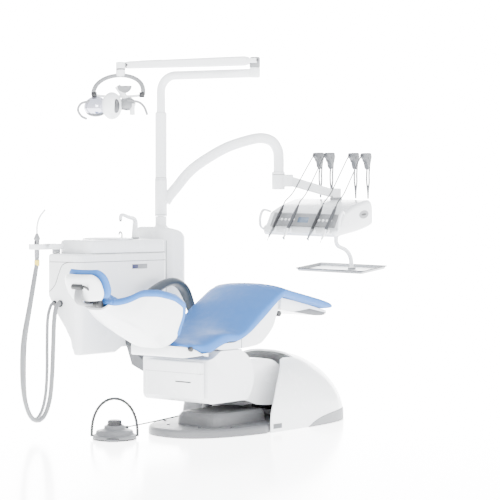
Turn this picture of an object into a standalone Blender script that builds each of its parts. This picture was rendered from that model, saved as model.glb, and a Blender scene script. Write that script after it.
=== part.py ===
"""Dental treatment unit: patient chair, water unit, operating light, instrument table and foot control.

Metres, +Z up.  The origin is on the floor under the middle of the base plate.
+X points to the patient's feet, +Y to the patient's left, where the water unit stands.
"""
import math

import bmesh
import bpy
from mathutils import Matrix, Vector

GAP = 0.0003

# Base
BASE_HALF_LENGTH = 0.66
BASE_HALF_WIDTH = 0.325
BASE_THICKNESS = 0.045
COWL_START_X = -0.17
COWL_HEIGHT = 0.415
COWL_WALL = 0.008
LIFT_PIVOT = Vector((0.30, 0.0, 0.20))
CARRIAGE_PIVOT = Vector((-0.36, 0.0, 0.30))
PIN_RADIUS = 0.022

# Patient chair
SEAT_HALF_WIDTH = 0.26
KNEE_X = 0.03
KNEE_PIVOT = Vector((0.035, 0.0, 0.665))
KNEE_SLANT = 0.011
FOOT_END_X = 0.478
BACK_PIVOT = Vector((-0.72, 0.0, 0.50))
BACK_HINGE = Vector((-0.73, 0.0, 0.575))
RECLINE = math.radians(24.3)
HEAD_PIVOT_S = 0.515
HEAD_PIVOT_N = 0.012
HEADREST_CENTRE = Vector((-1.235, 0.0, 0.812))
HEADREST_SLOPE = math.radians(65)

# Water unit
UNIT_X = (-0.87, -0.17)
UNIT_Y = (0.42, 0.68)
UNIT_TOP_Z = 0.957
RIM_TOP_Z = 1.03
BOWL_CENTRE = Vector((-0.52, 0.555, 1.03))
BOWL_RADIUS = 0.125
POLE = Vector((-0.02, 0.62, 0.0))
POLE_RADIUS = 0.033
POST_RADIUS = 0.018
HUB_Z = (1.155, 1.375)
FILLER_STEM = Vector((-0.30, 0.56, 1.03))
ASSIST_PIVOT = Vector((-0.845, 0.62, 0.9575))

# Operating light
LIGHT_ELBOW = Vector((0.174, 0.077, 1.995))
LAMP_JOINT = Vector((-0.545, 0.430, 1.968))
LIGHT_TUBE_RADIUS = 0.025
LAMP_CENTRE = Vector((-0.600, 0.395, 1.80))

# Instrument delivery
ELBOW_REACH = 0.733
ELBOW_DIRECTION = Vector((0.876, -0.482, 0.0)).normalized()
TUBE_RADIUS = 0.031
ELBOW_Z = (1.313, 1.418)
TABLE_ORIGIN = Vector((0.68, 0.015, 1.06))
TABLE_YAW = math.radians(8)
TABLE_PITCH = math.radians(4.5)
TABLE_ROLL = math.radians(1.5)
TABLE_HALF_WIDTH = 0.25
WHIP_V = (0.094, 0.019, -0.144, -0.226)
HANDPIECE_V = (0.16, 0.06, -0.10, -0.19)
WHIP_U = 0.20
WHIP_FOOT_W = 0.205
HOSE_RADIUS = 0.0035

# Foot control and hoses
CORD_POST = Vector((-0.14, 0.16, 0.0))
FOOT_CENTRE = Vector((-0.868, 0.157, 0.0))
FOOT_CORD_RADIUS = 0.0035
LARGE_HOSE_RADIUS = 0.0125
SMALL_HOSE_RADIUS = 0.009

WHITE = ("white_plastic", (0.86, 0.87, 0.88), 0.28, 0.0)
GREY = ("grey_plastic", (0.42, 0.43, 0.45), 0.45, 0.0)
DARK = ("dark_plastic", (0.05, 0.05, 0.055), 0.4, 0.0)
BLUE = ("blue_upholstery", (0.25, 0.47, 0.78), 0.5, 0.0)
RUBBER = ("grey_rubber", (0.45, 0.46, 0.47), 0.6, 0.0)
STEEL = ("steel", (0.62, 0.63, 0.65), 0.3, 1.0)
IRON = ("cast_iron", (0.36, 0.37, 0.39), 0.5, 0.0)
HOSE = ("hose_rubber", (0.5, 0.51, 0.53), 0.5, 0.0)
GLASS = ("lamp_glass", (0.75, 0.8, 0.85), 0.1, 0.0)
CERAMIC = ("ceramic", (0.9, 0.91, 0.92), 0.15, 0.0)

BODIES = {}


# ---------------------------------------------------------------- scene helpers
def clear_scene():
    for obj in list(bpy.data.objects):
        bpy.data.objects.remove(obj, do_unlink=True)


def material(spec):
    name, colour, roughness, metallic = spec
    mat = bpy.data.materials.get(name)
    if mat is None:
        mat = bpy.data.materials.new(name)
        mat.use_nodes = True
        shader = mat.node_tree.nodes["Principled BSDF"]
        shader.inputs["Base Color"].default_value = (*colour, 1.0)
        shader.inputs["Roughness"].default_value = roughness
        shader.inputs["Metallic"].default_value = metallic
    return mat


def body(name, origin=(0, 0, 0), parent=None):
    """Empty that stands for one moving body, on its joint's axis."""
    empty = bpy.data.objects.new("body_" + name, None)
    bpy.context.collection.objects.link(empty)
    frame = Matrix.Translation(Vector(origin))
    if parent:
        empty.parent = BODIES[parent][0]
        empty.matrix_basis = BODIES[parent][1].inverted() @ frame
    else:
        empty.matrix_basis = frame
    BODIES[name] = (empty, frame)


def add_mesh(name, bm, spec, owner, frame=None):
    """Turn a bmesh, made in the given frame, into a named object on a body."""
    bmesh.ops.recalc_face_normals(bm, faces=bm.faces)
    mesh = bpy.data.meshes.new(name)
    bm.to_mesh(mesh)
    bm.free()
    mesh.materials.append(material(spec))
    mesh.shade_smooth()
    mesh.set_sharp_from_angle(angle=math.radians(35))
    obj = bpy.data.objects.new(name, mesh)
    bpy.context.collection.objects.link(obj)
    empty, origin = BODIES[owner]
    obj.parent = empty
    obj.matrix_basis = origin.inverted() @ (frame or Matrix.Identity(4))
    return obj


def boolean(obj, cutter_bm, operation="DIFFERENCE", frame=None):
    """Boolean an object with a guide solid that is built in the object's own frame."""
    mesh = bpy.data.meshes.new(obj.name + "_cutter")
    bmesh.ops.recalc_face_normals(cutter_bm, faces=cutter_bm.faces)
    cutter_bm.to_mesh(mesh)
    cutter_bm.free()
    cutter = bpy.data.objects.new(obj.name + "_cutter", mesh)
    bpy.context.collection.objects.link(cutter)
    cutter.hide_render = True
    cutter.display_type = "WIRE"
    cutter.parent = obj.parent
    cutter.matrix_basis = obj.matrix_basis @ (frame or Matrix.Identity(4))
    modifier = obj.modifiers.new("cut", "BOOLEAN")
    modifier.operation = operation
    modifier.solver = "EXACT"
    modifier.object = cutter


# ---------------------------------------------------------------- shape helpers
def loft(rings, cap=True, wrap=False):
    """Closed solid through rings that have the same number of points."""
    bm = bmesh.new()
    rows = [[bm.verts.new(p) for p in ring] for ring in rings]
    count = len(rows[0])
    pairs = list(zip(rows, rows[1:]))
    if wrap:
        pairs.append((rows[-1], rows[0]))
    for low, high in pairs:
        for i in range(count):
            j = (i + 1) % count
            bm.faces.new((low[i], low[j], high[j], high[i]))
    if cap and not wrap:
        bm.faces.new(list(reversed(rows[0])))
        bm.faces.new(rows[-1])
    return bm


def box(x, y, z, bevel=0.0, segments=2):
    bm = bmesh.new()
    size = Vector((x[1] - x[0], y[1] - y[0], z[1] - z[0]))
    centre = Vector((x[0] + x[1], y[0] + y[1], z[0] + z[1])) / 2
    bmesh.ops.create_cube(bm, size=1.0, matrix=Matrix.Translation(centre) @ Matrix.Diagonal((*size, 1)))
    if bevel:
        bmesh.ops.bevel(bm, geom=bm.edges[:], offset=bevel, segments=segments, profile=0.5,
                        affect="EDGES", clamp_overlap=True)
    return bm


def cylinder(a, b, radius, sides=16, bevel=0.0, end_radius=None):
    """Solid between two points, tapered when end_radius is given."""
    a, b = Vector(a), Vector(b)
    end_radius = radius if end_radius is None else end_radius
    axis = (b - a).normalized()
    length = (b - a).length
    stations = [(0.0, radius), (length, end_radius)]
    if bevel:
        stations = [(0.0, radius - bevel), (bevel, radius), (length - bevel, end_radius),
                    (length, end_radius - bevel)]
    side = axis.orthogonal().normalized()
    up = axis.cross(side)
    rings = []
    for along, r in stations:
        rings.append([a + axis * along + r * (math.cos(t) * side + math.sin(t) * up)
                      for t in turns(sides)])
    return loft(rings)


def turns(count, start=0.0):
    return [start + 2 * math.pi * i / count for i in range(count)]


def turned(profile, sides=32, centre=(0, 0, 0)):
    """Solid of revolution about a vertical axis; the profile is a closed loop of (radius, height)."""
    centre = Vector(centre)
    rings = []
    for t in turns(sides):
        rings.append([centre + Vector((r * math.cos(t), r * math.sin(t), z)) for r, z in profile])
    return loft(rings, wrap=True)


def dome(profile, sides=32, centre=(0, 0, 0)):
    """Solid of revolution whose profile of (radius, height) is closed by flat ends."""
    centre = Vector(centre)
    return loft([[centre + Vector((r * math.cos(t), r * math.sin(t), z)) for t in turns(sides)]
                 for r, z in profile])


def extruded(outline, across, frame_axes="xz", bevel=0.0, segments=2):
    """Prism from an outline in the XZ plane (extruded along Y) or the XY plane (extruded along Z)."""
    low, high = across
    if frame_axes == "xz":
        rings = [[Vector((u, y, w)) for u, w in outline] for y in (low, high)]
    else:
        rings = [[Vector((u, w, z)) for u, w in outline] for z in (low, high)]
    bm = loft(rings)
    if bevel:
        bm.edges.ensure_lookup_table()
        rim = [e for e in bm.edges if any(len(f.verts) == len(outline) for f in e.link_faces)]
        bmesh.ops.bevel(bm, geom=rim, offset=bevel, segments=segments, profile=0.5,
                        affect="EDGES", clamp_overlap=True)
    return bm


def smooth_curve(points, per_span=4):
    """Catmull-Rom curve through the points."""
    pts = [Vector(p) for p in points]
    ends = [2 * pts[0] - pts[1]] + pts + [2 * pts[-1] - pts[-2]]
    out = []
    for i in range(1, len(ends) - 2):
        p0, p1, p2, p3 = ends[i - 1:i + 3]
        for k in range(per_span):
            t = k / per_span
            out.append(0.5 * (2 * p1 + (p2 - p0) * t + (2 * p0 - 5 * p1 + 4 * p2 - p3) * t * t
                              + (3 * p1 - p0 - 3 * p2 + p3) * t ** 3))
    out.append(pts[-1])
    return out


def sweep(points, section, up=(0, 0, 1)):
    """Solid along a path; section(i, count) gives the (side, up) offsets of ring i."""
    rings = []
    normal = Vector(up)
    for i, point in enumerate(points):
        ahead = points[min(i + 1, len(points) - 1)]
        behind = points[max(i - 1, 0)]
        tangent = (ahead - behind).normalized()
        normal = (normal - tangent * normal.dot(tangent)).normalized()
        side = tangent.cross(normal)
        rings.append([point + side * a + normal * b for a, b in section(i, len(points))])
    return loft(rings)


def ellipse(width, height, sides=16):
    return [(width * math.cos(t), height * math.sin(t)) for t in turns(sides)]


def tube(points, radius, sides=16, up=(0, 0, 1)):
    return sweep(points, lambda i, n: ellipse(radius, radius, sides), up)


def rounded_rectangle(x, y, radius, steps=5):
    """Outline of a rectangle with round corners, anticlockwise."""
    points = []
    corners = ((x[1] - radius, y[1] - radius, 0), (x[0] + radius, y[1] - radius, 90),
               (x[0] + radius, y[0] + radius, 180), (x[1] - radius, y[0] + radius, 270))
    for cx, cy, start in corners:
        for k in range(steps + 1):
            t = math.radians(start + 90 * k / steps)
            points.append((cx + radius * math.cos(t), cy + radius * math.sin(t)))
    return points


def arc(centre, radius, start, end, steps):
    """Points of an arc in a plane, angles in degrees."""
    out = []
    for k in range(steps + 1):
        t = math.radians(start + (end - start) * k / steps)
        out.append((centre[0] + radius * math.cos(t), centre[1] + radius * math.sin(t)))
    return out


def interpolate(table, value):
    """Smooth interpolation in a short table of (position, value) pairs."""
    if value <= table[0][0]:
        return table[0][1]
    for (a, va), (b, vb) in zip(table, table[1:]):
        if value <= b:
            t = (value - a) / (b - a)
            t = t * t * (3 - 2 * t)
            return va + (vb - va) * t
    return table[-1][1]


def curve_cord(name, points, radius, owner, spec=HOSE, resolution=2):
    """Free cord: a poly curve with a round bevel and closed ends."""
    curve = bpy.data.curves.new(name, "CURVE")
    curve.dimensions = "3D"
    curve.bevel_depth = radius
    curve.bevel_resolution = resolution
    curve.use_fill_caps = True
    spline = curve.splines.new("POLY")
    spline.points.add(len(points) - 1)
    for point, place in zip(spline.points, points):
        point.co = (*place, 1.0)
    curve.materials.append(material(spec))
    obj = bpy.data.objects.new(name, curve)
    bpy.context.collection.objects.link(obj)
    empty, origin = BODIES[owner]
    obj.parent = empty
    obj.matrix_basis = origin.inverted()
    return obj


def resample(points, step):
    """Points along a polyline at even spacing, both ends kept."""
    lengths = [0.0]
    for a, b in zip(points, points[1:]):
        lengths.append(lengths[-1] + (b - a).length)
    count = max(2, round(lengths[-1] / step))
    out = []
    k = 0
    for i in range(count + 1):
        target = lengths[-1] * i / count
        while k < len(points) - 2 and lengths[k + 1] < target:
            k += 1
        t = (target - lengths[k]) / (lengths[k + 1] - lengths[k])
        out.append(points[k].lerp(points[k + 1], min(max(t, 0.0), 1.0)))
    return out


# ---------------------------------------------------------------- base
def base_outline(inset=0.0, steps=48):
    """Plan of the base: a long oval, rounder at the head end than at the foot end."""
    points = []
    for t in turns(steps):
        power = 2 / (3.4 if math.cos(t) > 0 else 2.4)
        c, s = math.cos(t), math.sin(t)
        x = (BASE_HALF_LENGTH - inset) * math.copysign(abs(c) ** power, c)
        y = (BASE_HALF_WIDTH - inset) * math.copysign(abs(s) ** power, s)
        points.append((x, y))
    return points


def base_width(x):
    power = 3.4 if x > 0 else 2.4
    return BASE_HALF_WIDTH * max(0.0, 1 - abs(x / BASE_HALF_LENGTH) ** power) ** (1 / power)


def plate_ring(z, inset):
    """Outline of the plate: full size at the head end, tucked inside the cowl at the foot end."""
    ring = []
    for x, y in base_outline():
        tuck = 0.020 if x > COWL_START_X - 0.004 else 0.0
        ring.append(Vector((x * (1 - (inset + tuck * 1.6) / BASE_HALF_LENGTH),
                            y * (1 - (inset + tuck) / BASE_HALF_WIDTH), z)))
    return ring


def make_base_plate():
    top = BASE_THICKNESS
    rings = [plate_ring(0.0, 0.0), plate_ring(top - 0.012, 0.0), plate_ring(top - 0.004, 0.0035),
             plate_ring(top, 0.012)]
    plate = add_mesh("base_plate", loft(rings), IRON, "root")
    post = dome([(0.028, 0.020), (0.028, 0.124), (0.022, 0.130)], 20, CORD_POST)
    boolean(plate, post, "UNION")


def cowl_height(x):
    """Height of the cowl's ridge along its length."""
    t = (x - 0.10) / (BASE_HALF_LENGTH - 0.10)
    if t <= 0:
        return COWL_HEIGHT
    return COWL_HEIGHT * (1 - t ** 2.1) ** 0.62


def cowl_solid(inset, end_inset):
    """Quarter dome over the foot half of the base."""
    rings = []
    last = BASE_HALF_LENGTH - 0.004 - end_inset
    stations = [COWL_START_X + (last - COWL_START_X) * math.sin(math.pi / 2 * k / 22) for k in range(23)]
    for x in stations:
        width = max(base_width(x + end_inset * 0.6) - inset, 0.012)
        height = max(cowl_height(x + end_inset * 0.8) - inset, 0.014)
        ring = []
        for k in range(21):
            t = math.pi * k / 20
            c, s = math.cos(t), math.sin(t)
            y = -width * math.copysign(abs(c) ** 0.72, c)
            ring.append(Vector((x, y, height * abs(s) ** 0.62)))
        ring[0].z = ring[-1].z = 0.0
        rings.append(ring)
    return loft(rings)


def bumper_profile(grow):
    """Side view of the rubber bumper on the foot end."""
    return [(0.16 - grow * 4, -0.02), (0.78, -0.02), (0.78, 0.066 + grow), (0.52, 0.062 + grow),
            (0.36, 0.048 + grow), (0.24, 0.024 + grow), (0.17 - grow, 0.002)]


def make_cowl():
    cowl = add_mesh("base_cowl", cowl_solid(0.0, 0.0), WHITE, "root")
    inner = cowl_solid(COWL_WALL, COWL_WALL * 3)
    for vert in inner.verts:
        vert.co.z -= 0.02 if vert.co.z < 0.001 else 0.0
        vert.co.x -= 0.02 if vert.co.x < COWL_START_X + 0.001 else 0.0
    boolean(cowl, inner)
    front = [(-0.60, -0.05), (-0.165, -0.05), (-0.165, 0.06), (-0.150, 0.13), (-0.10, 0.23),
             (-0.045, 0.295), (0.045, 0.362), (0.125, 0.396), (0.19, 0.43), (-0.60, 0.60)]
    boolean(cowl, extruded(front, (-0.5, 0.5)))
    boolean(cowl, box((-0.30, 0.180), (-0.198, 0.198), (0.30, 0.60)))
    boolean(cowl, extruded(bumper_profile(GAP * 3), (-0.5, 0.5)))
    bumper = add_mesh("base_bumper", cowl_solid(-0.003, -0.002), RUBBER, "root")
    hollow = cowl_solid(COWL_WALL, COWL_WALL * 3)
    for vert in hollow.verts:
        vert.co.z -= 0.05 if vert.co.z < 0.001 else 0.0
        vert.co.x -= 0.02 if vert.co.x < COWL_START_X + 0.001 else 0.0
    boolean(bumper, hollow)
    boolean(bumper, extruded([(p[0], max(p[1], -0.01)) for p in bumper_profile(0.0)], (-0.5, 0.5)),
            "INTERSECT")


def make_base_inside():
    """Housing seen under the lift, and the bracket that carries the lift arm."""
    outline = rounded_rectangle((-0.47, -0.02), (-0.190, 0.110), 0.06)
    rings = []
    for z, shrink in ((BASE_THICKNESS + GAP, 0.0), (0.092, 0.004), (0.110, 0.016), (0.116, 0.034)):
        scale_x = 1 - shrink / 0.225
        scale_y = 1 - shrink / 0.15
        rings.append([Vector((-0.245 + (x + 0.245) * scale_x, -0.04 + (y + 0.04) * scale_y, z))
                      for x, y in outline])
    add_mesh("base_housing", loft(rings), DARK, "root")

    profile = [(0.18, BASE_THICKNESS + GAP), (0.42, BASE_THICKNESS + GAP), (0.42, 0.07)]
    profile += arc((LIFT_PIVOT.x, LIFT_PIVOT.z), 0.05, -10, 190, 10) + [(0.18, 0.07)]
    bracket = add_mesh("base_bracket", extruded(profile, (-0.115, 0.115), bevel=0.003), STEEL, "root")
    slot = box((0.10, 0.50), (-0.085, 0.085), (0.075, 0.30))
    boolean(bracket, slot)
    pivot = LIFT_PIVOT
    pin = cylinder((pivot.x, -0.125, pivot.z), (pivot.x, 0.125, pivot.z), PIN_RADIUS - GAP, bevel=0.002)
    boolean(bracket, pin, "UNION")


# ---------------------------------------------------------------- lift
def make_lift():
    low = Vector((LIFT_PIVOT.x, LIFT_PIVOT.z))
    high = Vector((CARRIAGE_PIVOT.x, CARRIAGE_PIVOT.z))
    angle = math.degrees(math.atan2(high.y - low.y, high.x - low.x))
    outline = arc(low, 0.045, angle - 270, angle - 90, 10) + arc(high, 0.045, angle - 90, angle + 90, 10)
    arm = add_mesh("lift_arm", extruded(outline, (-0.082, 0.082), bevel=0.003), STEEL, "lift_arm")
    for end in (LIFT_PIVOT, CARRIAGE_PIVOT):
        boolean(arm, cylinder((end.x, -0.2, end.z), (end.x, 0.2, end.z), PIN_RADIUS + GAP))
    boolean(arm, box((-0.26, 0.20), (-0.060, 0.060), (0.10, 0.40)))

    around = (CARRIAGE_PIVOT.x, CARRIAGE_PIVOT.z)
    bottom = [(-0.19, 0.160), (-0.10, 0.136), (0.10, 0.124), (0.22, 0.124)]
    top = [(0.22, 0.258), (0.14, 0.299), (0.085, 0.326), (0.0, 0.372), (-0.10, 0.389)]
    outline = arc(around, 0.162, 34, -49, 12) + bottom + top
    shroud = add_mesh("lift_shroud", extruded(outline, (-0.192, 0.192), bevel=0.02, segments=3),
                      WHITE, "lift_arm")
    inner = [(-0.40, 0.10), (0.30, 0.10), (0.30, 0.236), (0.14, 0.285), (0.0, 0.357), (-0.10, 0.377),
             (-0.40, 0.381)]
    boolean(shroud, extruded(inner, (-0.182, 0.182)))


# ---------------------------------------------------------------- carriage
def make_carriage():
    pivot = CARRIAGE_PIVOT
    left = [(-0.575, 0.215), (-0.565, 0.19), (-0.54, 0.18)]
    hub = arc((pivot.x, pivot.z), 0.155, -50.7, 70, 14)
    top = [(-0.30, 0.452), (-0.46, 0.452), (-0.49, 0.444), (-0.53, 0.416), (-0.575, 0.412)]
    cover = add_mesh("body_cover", extruded(left + hub + top, (-0.232, 0.232), bevel=0.028, segments=3),
                     WHITE, "carriage")
    inner = [(-0.555, 0.215), (-0.54, 0.195), (-0.33, 0.195), (-0.29, 0.150), (-0.10, 0.100), (-0.10, 0.42),
             (-0.30, 0.438), (-0.46, 0.438), (-0.53, 0.400), (-0.555, 0.398)]
    boolean(cover, extruded(inner, (-0.150, 0.150)))

    add_mesh("side_cover", box((-0.617, -0.5755), (-0.215, 0.175), (0.205, 0.400), 0.014, 2),
                    WHITE, "carriage")

    yoke = [(-0.52, 0.215), (-0.30, 0.215), (-0.30, 0.420), (-0.46, 0.420), (-0.50, 0.400), (-0.52, 0.385)]
    frame = add_mesh("carriage_frame", extruded(yoke, (-0.125, 0.125), bevel=0.003), STEEL, "carriage")
    boolean(frame, box((-0.43, 0.0), (-0.086, 0.086), (0.0, 0.60)))
    pin = cylinder((pivot.x, -0.135, pivot.z), (pivot.x, 0.135, pivot.z), PIN_RADIUS - GAP, bevel=0.002)
    boolean(frame, pin, "UNION")
    boolean(frame, unit_bracket(), "UNION")
    boolean(cover, box((-0.525, -0.385), (0.14, 0.30), (0.315, 0.385)))


SEAT_CENTRE = [(-0.76, 0.528), (-0.70, 0.520), (-0.60, 0.520), (-0.50, 0.538), (-0.40, 0.566), (-0.31, 0.602),
               (-0.25, 0.636), (-0.17, 0.690), (-0.01, 0.778), (KNEE_X, 0.786)]
SEAT_EDGE = [(-0.76, 0.505), (-0.70, 0.499), (-0.607, 0.505), (-0.555, 0.527), (-0.51, 0.549), (-0.46, 0.558),
             (-0.40, 0.549), (-0.356, 0.545), (-0.3127, 0.556), (-0.25, 0.600), (-0.166, 0.665), (-0.01, 0.755),
             (KNEE_X, 0.765)]
SEAT_UNDER = [(-0.76, 0.462), (-0.70, 0.442), (-0.62, 0.432), (-0.55, 0.446), (-0.49, 0.474), (-0.425, 0.494),
              (-0.35, 0.492), (-0.2695, 0.522), (-0.14, 0.601), (-0.02, 0.690), (KNEE_X, 0.714)]
SEAT_PLAN = [(-0.76, 0.150), (-0.72, 0.178), (-0.66, 0.222), (-0.58, 0.250), (-0.50, SEAT_HALF_WIDTH)]


def linear(table, value):
    if value <= table[0][0]:
        return table[0][1]
    for (a, va), (b, vb) in zip(table, table[1:]):
        if value <= b:
            return va + (vb - va) * (value - a) / (b - a)
    return table[-1][1]


def leg_top(x):
    return 0.770 + (0.672 - 0.770) * (x - KNEE_X) / (FOOT_END_X - KNEE_X)


def pad_ring(x, centre, edge, under, half_width):
    """Cross-section of a cushion: flat underside, round sides and a crowned top."""
    half = (edge - under) / 2
    mid = (edge + under) / 2
    side = [(half_width - 0.024, under), (half_width - 0.006, under + 0.012), (half_width, mid),
            (half_width - 0.007, edge - 0.35 * half), (half_width - 0.032, edge)]
    top = half_width - 0.032
    crown = [(top * t, edge + (centre - edge) * (1 - t * t)) for t in (0.62, 0.0, -0.62)]
    ring = side + crown + [(-y, z) for y, z in reversed(side)]
    return [Vector((x, y, z)) for y, z in ring]


def slant(ring, amount):
    """Lean a cushion's end at the knee, so the legrest can rise without touching the seat."""
    for point in ring:
        point.x += amount * (point.z - KNEE_PIVOT.z) / 0.10


def make_seat():
    rings = []
    start, end = -0.735, KNEE_X - 0.002
    count = 16
    for k in range(count + 1):
        x = start + (end - start) * k / count
        shrink = 0.014 if k == 0 else 0.0
        ring = pad_ring(x, linear(SEAT_CENTRE, x) - shrink, linear(SEAT_EDGE, x) - shrink,
                        linear(SEAT_UNDER, x) + shrink * 0.6, linear(SEAT_PLAN, x) - shrink)
        if k == count:
            slant(ring, -KNEE_SLANT)
        rings.append(ring)
    add_mesh("seat_cushion", loft(rings), BLUE, "carriage")

    under = []
    for k in range(11):
        x = -0.50 + (KNEE_X - 0.014 + 0.50) * k / 10
        under.append((x, linear(SEAT_UNDER, x) - 0.0035))
    lower = [(0.005, 0.640), (-0.03, 0.560), (-0.10, 0.497), (-0.16, 0.462), (-0.30, 0.4555), (-0.46, 0.4555)]
    outline = lower[::-1] + under[::-1]
    add_mesh("seat_shell", extruded(outline, (-0.225, 0.225)), WHITE, "carriage")


def make_legrest():
    rings = []
    for k in range(11):
        x = KNEE_X + 0.002 + (FOOT_END_X - KNEE_X - 0.002) * k / 10
        end = max(0.0, (k - 8) / 2)
        edge = leg_top(x) - 0.010 * end ** 2
        near_knee = 0.016 * (1 - k / 10)
        ring = pad_ring(x, edge + near_knee, edge, leg_top(x) - 0.052 + 0.010 * end ** 2,
                        SEAT_HALF_WIDTH - 0.012 * end ** 2)
        if k == 0:
            slant(ring, KNEE_SLANT)
        rings.append(ring)
    add_mesh("legrest_cushion", loft(rings), BLUE, "legrest")
    upper = [(x, leg_top(x) - 0.0535) for x in (0.44, 0.30, 0.16, 0.05)]
    outline = [(0.048, 0.648), (0.12, 0.632), (0.34, 0.598), (0.43, 0.598), (0.462, 0.612)] + upper
    add_mesh("legrest_shell", extruded(outline, (-0.215, 0.215), bevel=0.006), WHITE, "legrest")


# ---------------------------------------------------------------- backrest
BACK_FRAME = Matrix.Translation(BACK_PIVOT) @ Matrix(
    ((-math.cos(RECLINE), 0, math.sin(RECLINE), 0), (0, -1, 0, 0),
     (math.sin(RECLINE), 0, math.cos(RECLINE), 0), (0, 0, 0, 1)))

BACK_WIDTH = [(0.02, 0.150), (0.05, 0.180), (0.10, 0.228), (0.16, 0.256), (0.27, 0.256), (0.36, 0.222),
              (0.41, 0.160), (0.45, 0.105), (0.49, 0.090)]
BACK_RIM = [(0.02, 0.000), (0.055, 0.028), (0.09, 0.105), (0.13, 0.148), (0.22, 0.153), (0.32, 0.135),
            (0.385, 0.108), (0.42, 0.055), (0.455, 0.026), (0.49, 0.018)]
BACK_KEEL = [(0.02, -0.046), (0.18, -0.035), (0.33, -0.024), (0.49, -0.012)]
BACK_FACE = [(0.02, 0.012), (0.10, 0.030), (0.20, 0.044), (0.40, 0.050), (0.49, 0.052)]


def back_floor(s, offset, t):
    """Height over the back plane of a face parallel to the shell's outside, at a fraction of the width."""
    keel = linear(BACK_KEEL, s) + offset
    return keel + (linear(BACK_RIM, s) - keel) * abs(t) ** 4


def make_backrest():
    wall = 0.010
    shell_rings = []
    cushion_rings = []
    spread = [math.sin(math.pi / 2 * (i / 4 - 1)) for i in range(9)]
    count = 14
    for k in range(count + 1):
        s = 0.042 + 0.448 * k / count
        width = linear(BACK_WIDTH, s)
        rim = linear(BACK_RIM, s)
        fill = 0.7 if k in (0, count) else 1.0
        outer = [Vector((s, width * t, back_floor(s, 0.0, t))) for t in spread]
        inner = [Vector((s, (width - wall) * t, back_floor(s, wall, t))) for t in reversed(spread)]
        shell_rings.append(outer + inner)
        channel = 0.026
        under = [Vector((s, (width - wall - 0.006) * t, back_floor(s, wall + channel, t) + 0.002))
                 for t in spread]
        under[0].z = under[-1].z = rim + 0.003
        face = linear(BACK_FACE, s)
        crest = rim + 0.038 * fill
        over = []
        for t in reversed(spread[1:-1]):
            over.append(Vector((s, (width - 0.010) * t, face + (crest - face) * abs(t) ** 3)))
        lip_right = [Vector((s, width, rim + 0.003)), Vector((s, width + 0.003, rim + 0.024 * fill)),
                     Vector((s, width - 0.010, crest))]
        lip_left = [Vector((p.x, -p.y, p.z)) for p in reversed(lip_right)]
        cushion_rings.append(under + lip_right + over + lip_left)
    add_mesh("backrest_shell", loft(shell_rings), WHITE, "backrest", BACK_FRAME)
    add_mesh("backrest_cushion", loft(cushion_rings), BLUE, "backrest", BACK_FRAME)


HEAD_FRAME = Matrix.Translation(HEADREST_CENTRE) @ Matrix(
    ((-math.cos(HEADREST_SLOPE), 0, math.sin(HEADREST_SLOPE), 0), (0, -1, 0, 0),
     (math.sin(HEADREST_SLOPE), 0, math.cos(HEADREST_SLOPE), 0), (0, 0, 0, 1)))


def head_pad(low, high, half_width, length, wing, count=8):
    rings = []
    for k in range(count + 1):
        t = -1 + 2 * k / count
        s = length * t
        width = half_width * (1 - 0.30 * max(0, t) ** 3 - 0.22 * max(0, -t) ** 3)
        ends = 1 - 0.45 * abs(t) ** 5
        mid = (low + high) / 2
        half = (high - low) / 2 * ends
        ring = []
        for a in turns(16, math.pi / 16):
            c, sn = math.cos(a), math.sin(a)
            y = width * math.copysign(abs(c) ** 0.7, c)
            n = mid + half * math.copysign(abs(sn) ** 0.7, sn) + wing * (y / half_width) ** 2
            ring.append(Vector((s, y, n)))
        rings.append(ring)
    return loft(rings)


def make_headrest():
    pivot = (HEAD_PIVOT_S, HEAD_PIVOT_N)
    bar = box((0.36, pivot[0]), (-0.026, 0.026), (pivot[1] - 0.006, pivot[1] + 0.002), 0.0015)
    obj = add_mesh("headrest_bar", bar, STEEL, "headrest_slide", BACK_FRAME)
    boolean(obj, cylinder((pivot[0], -0.028, pivot[1]), (pivot[0], 0.028, pivot[1]), 0.013, 16), "UNION")
    cushion = head_pad(-0.020, 0.040, 0.134, 0.078, 0.016)
    obj = add_mesh("headrest_cushion", cushion, BLUE, "headrest", HEAD_FRAME)
    shell = add_mesh("headrest_shell", head_pad(-0.046, -0.0215, 0.104, 0.058, 0.010), WHITE, "headrest",
                     HEAD_FRAME)
    add_link(shell)


def add_link(shell):
    """Bridge from the bar's knuckle up to the headrest's back shell."""
    pivot = BACK_FRAME @ Vector((HEAD_PIVOT_S, 0, HEAD_PIVOT_N))
    top = HEAD_FRAME @ Vector((0.010, 0, -0.040))
    path = [pivot + Vector((-0.004, 0, 0.0)), pivot + Vector((-0.060, 0, -0.004)),
            pivot + Vector((-0.098, 0, 0.022)), top]
    path = smooth_curve(path, 4)
    flat = [(-0.040, -0.006), (0.040, -0.006), (0.040, 0.006), (-0.040, 0.006)]
    link = sweep(path, lambda i, n: flat, up=(0.3, 0, 1))
    back = HEAD_FRAME.inverted()
    for vert in link.verts:
        vert.co = back @ vert.co
    boolean(shell, link, "UNION")
    a, b = back @ (pivot + Vector((0, -0.029, 0))), back @ (pivot + Vector((0, 0.029, 0)))
    boolean(shell, cylinder(a, b, 0.026, 16))


def make_armrest():
    path = [(-0.085, 0.300, 0.560), (-0.088, 0.318, 0.620), (-0.105, 0.330, 0.690), (-0.150, 0.332, 0.757),
            (-0.215, 0.332, 0.790), (-0.290, 0.332, 0.786), (-0.370, 0.332, 0.757), (-0.440, 0.332, 0.722)]
    points = smooth_curve(path, 3)

    def section(i, n):
        t = i / (n - 1)
        width = 0.018 + 0.016 * min(1, t * 2.5)
        if i in (0, n - 1):
            width *= 0.8
        return ellipse(width, 0.020 if 0 < i < n - 1 else 0.014, 12)
    arm = add_mesh("armrest", sweep(points, section, up=(1, 0, 0)), GREY, "carriage")
    return arm


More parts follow.
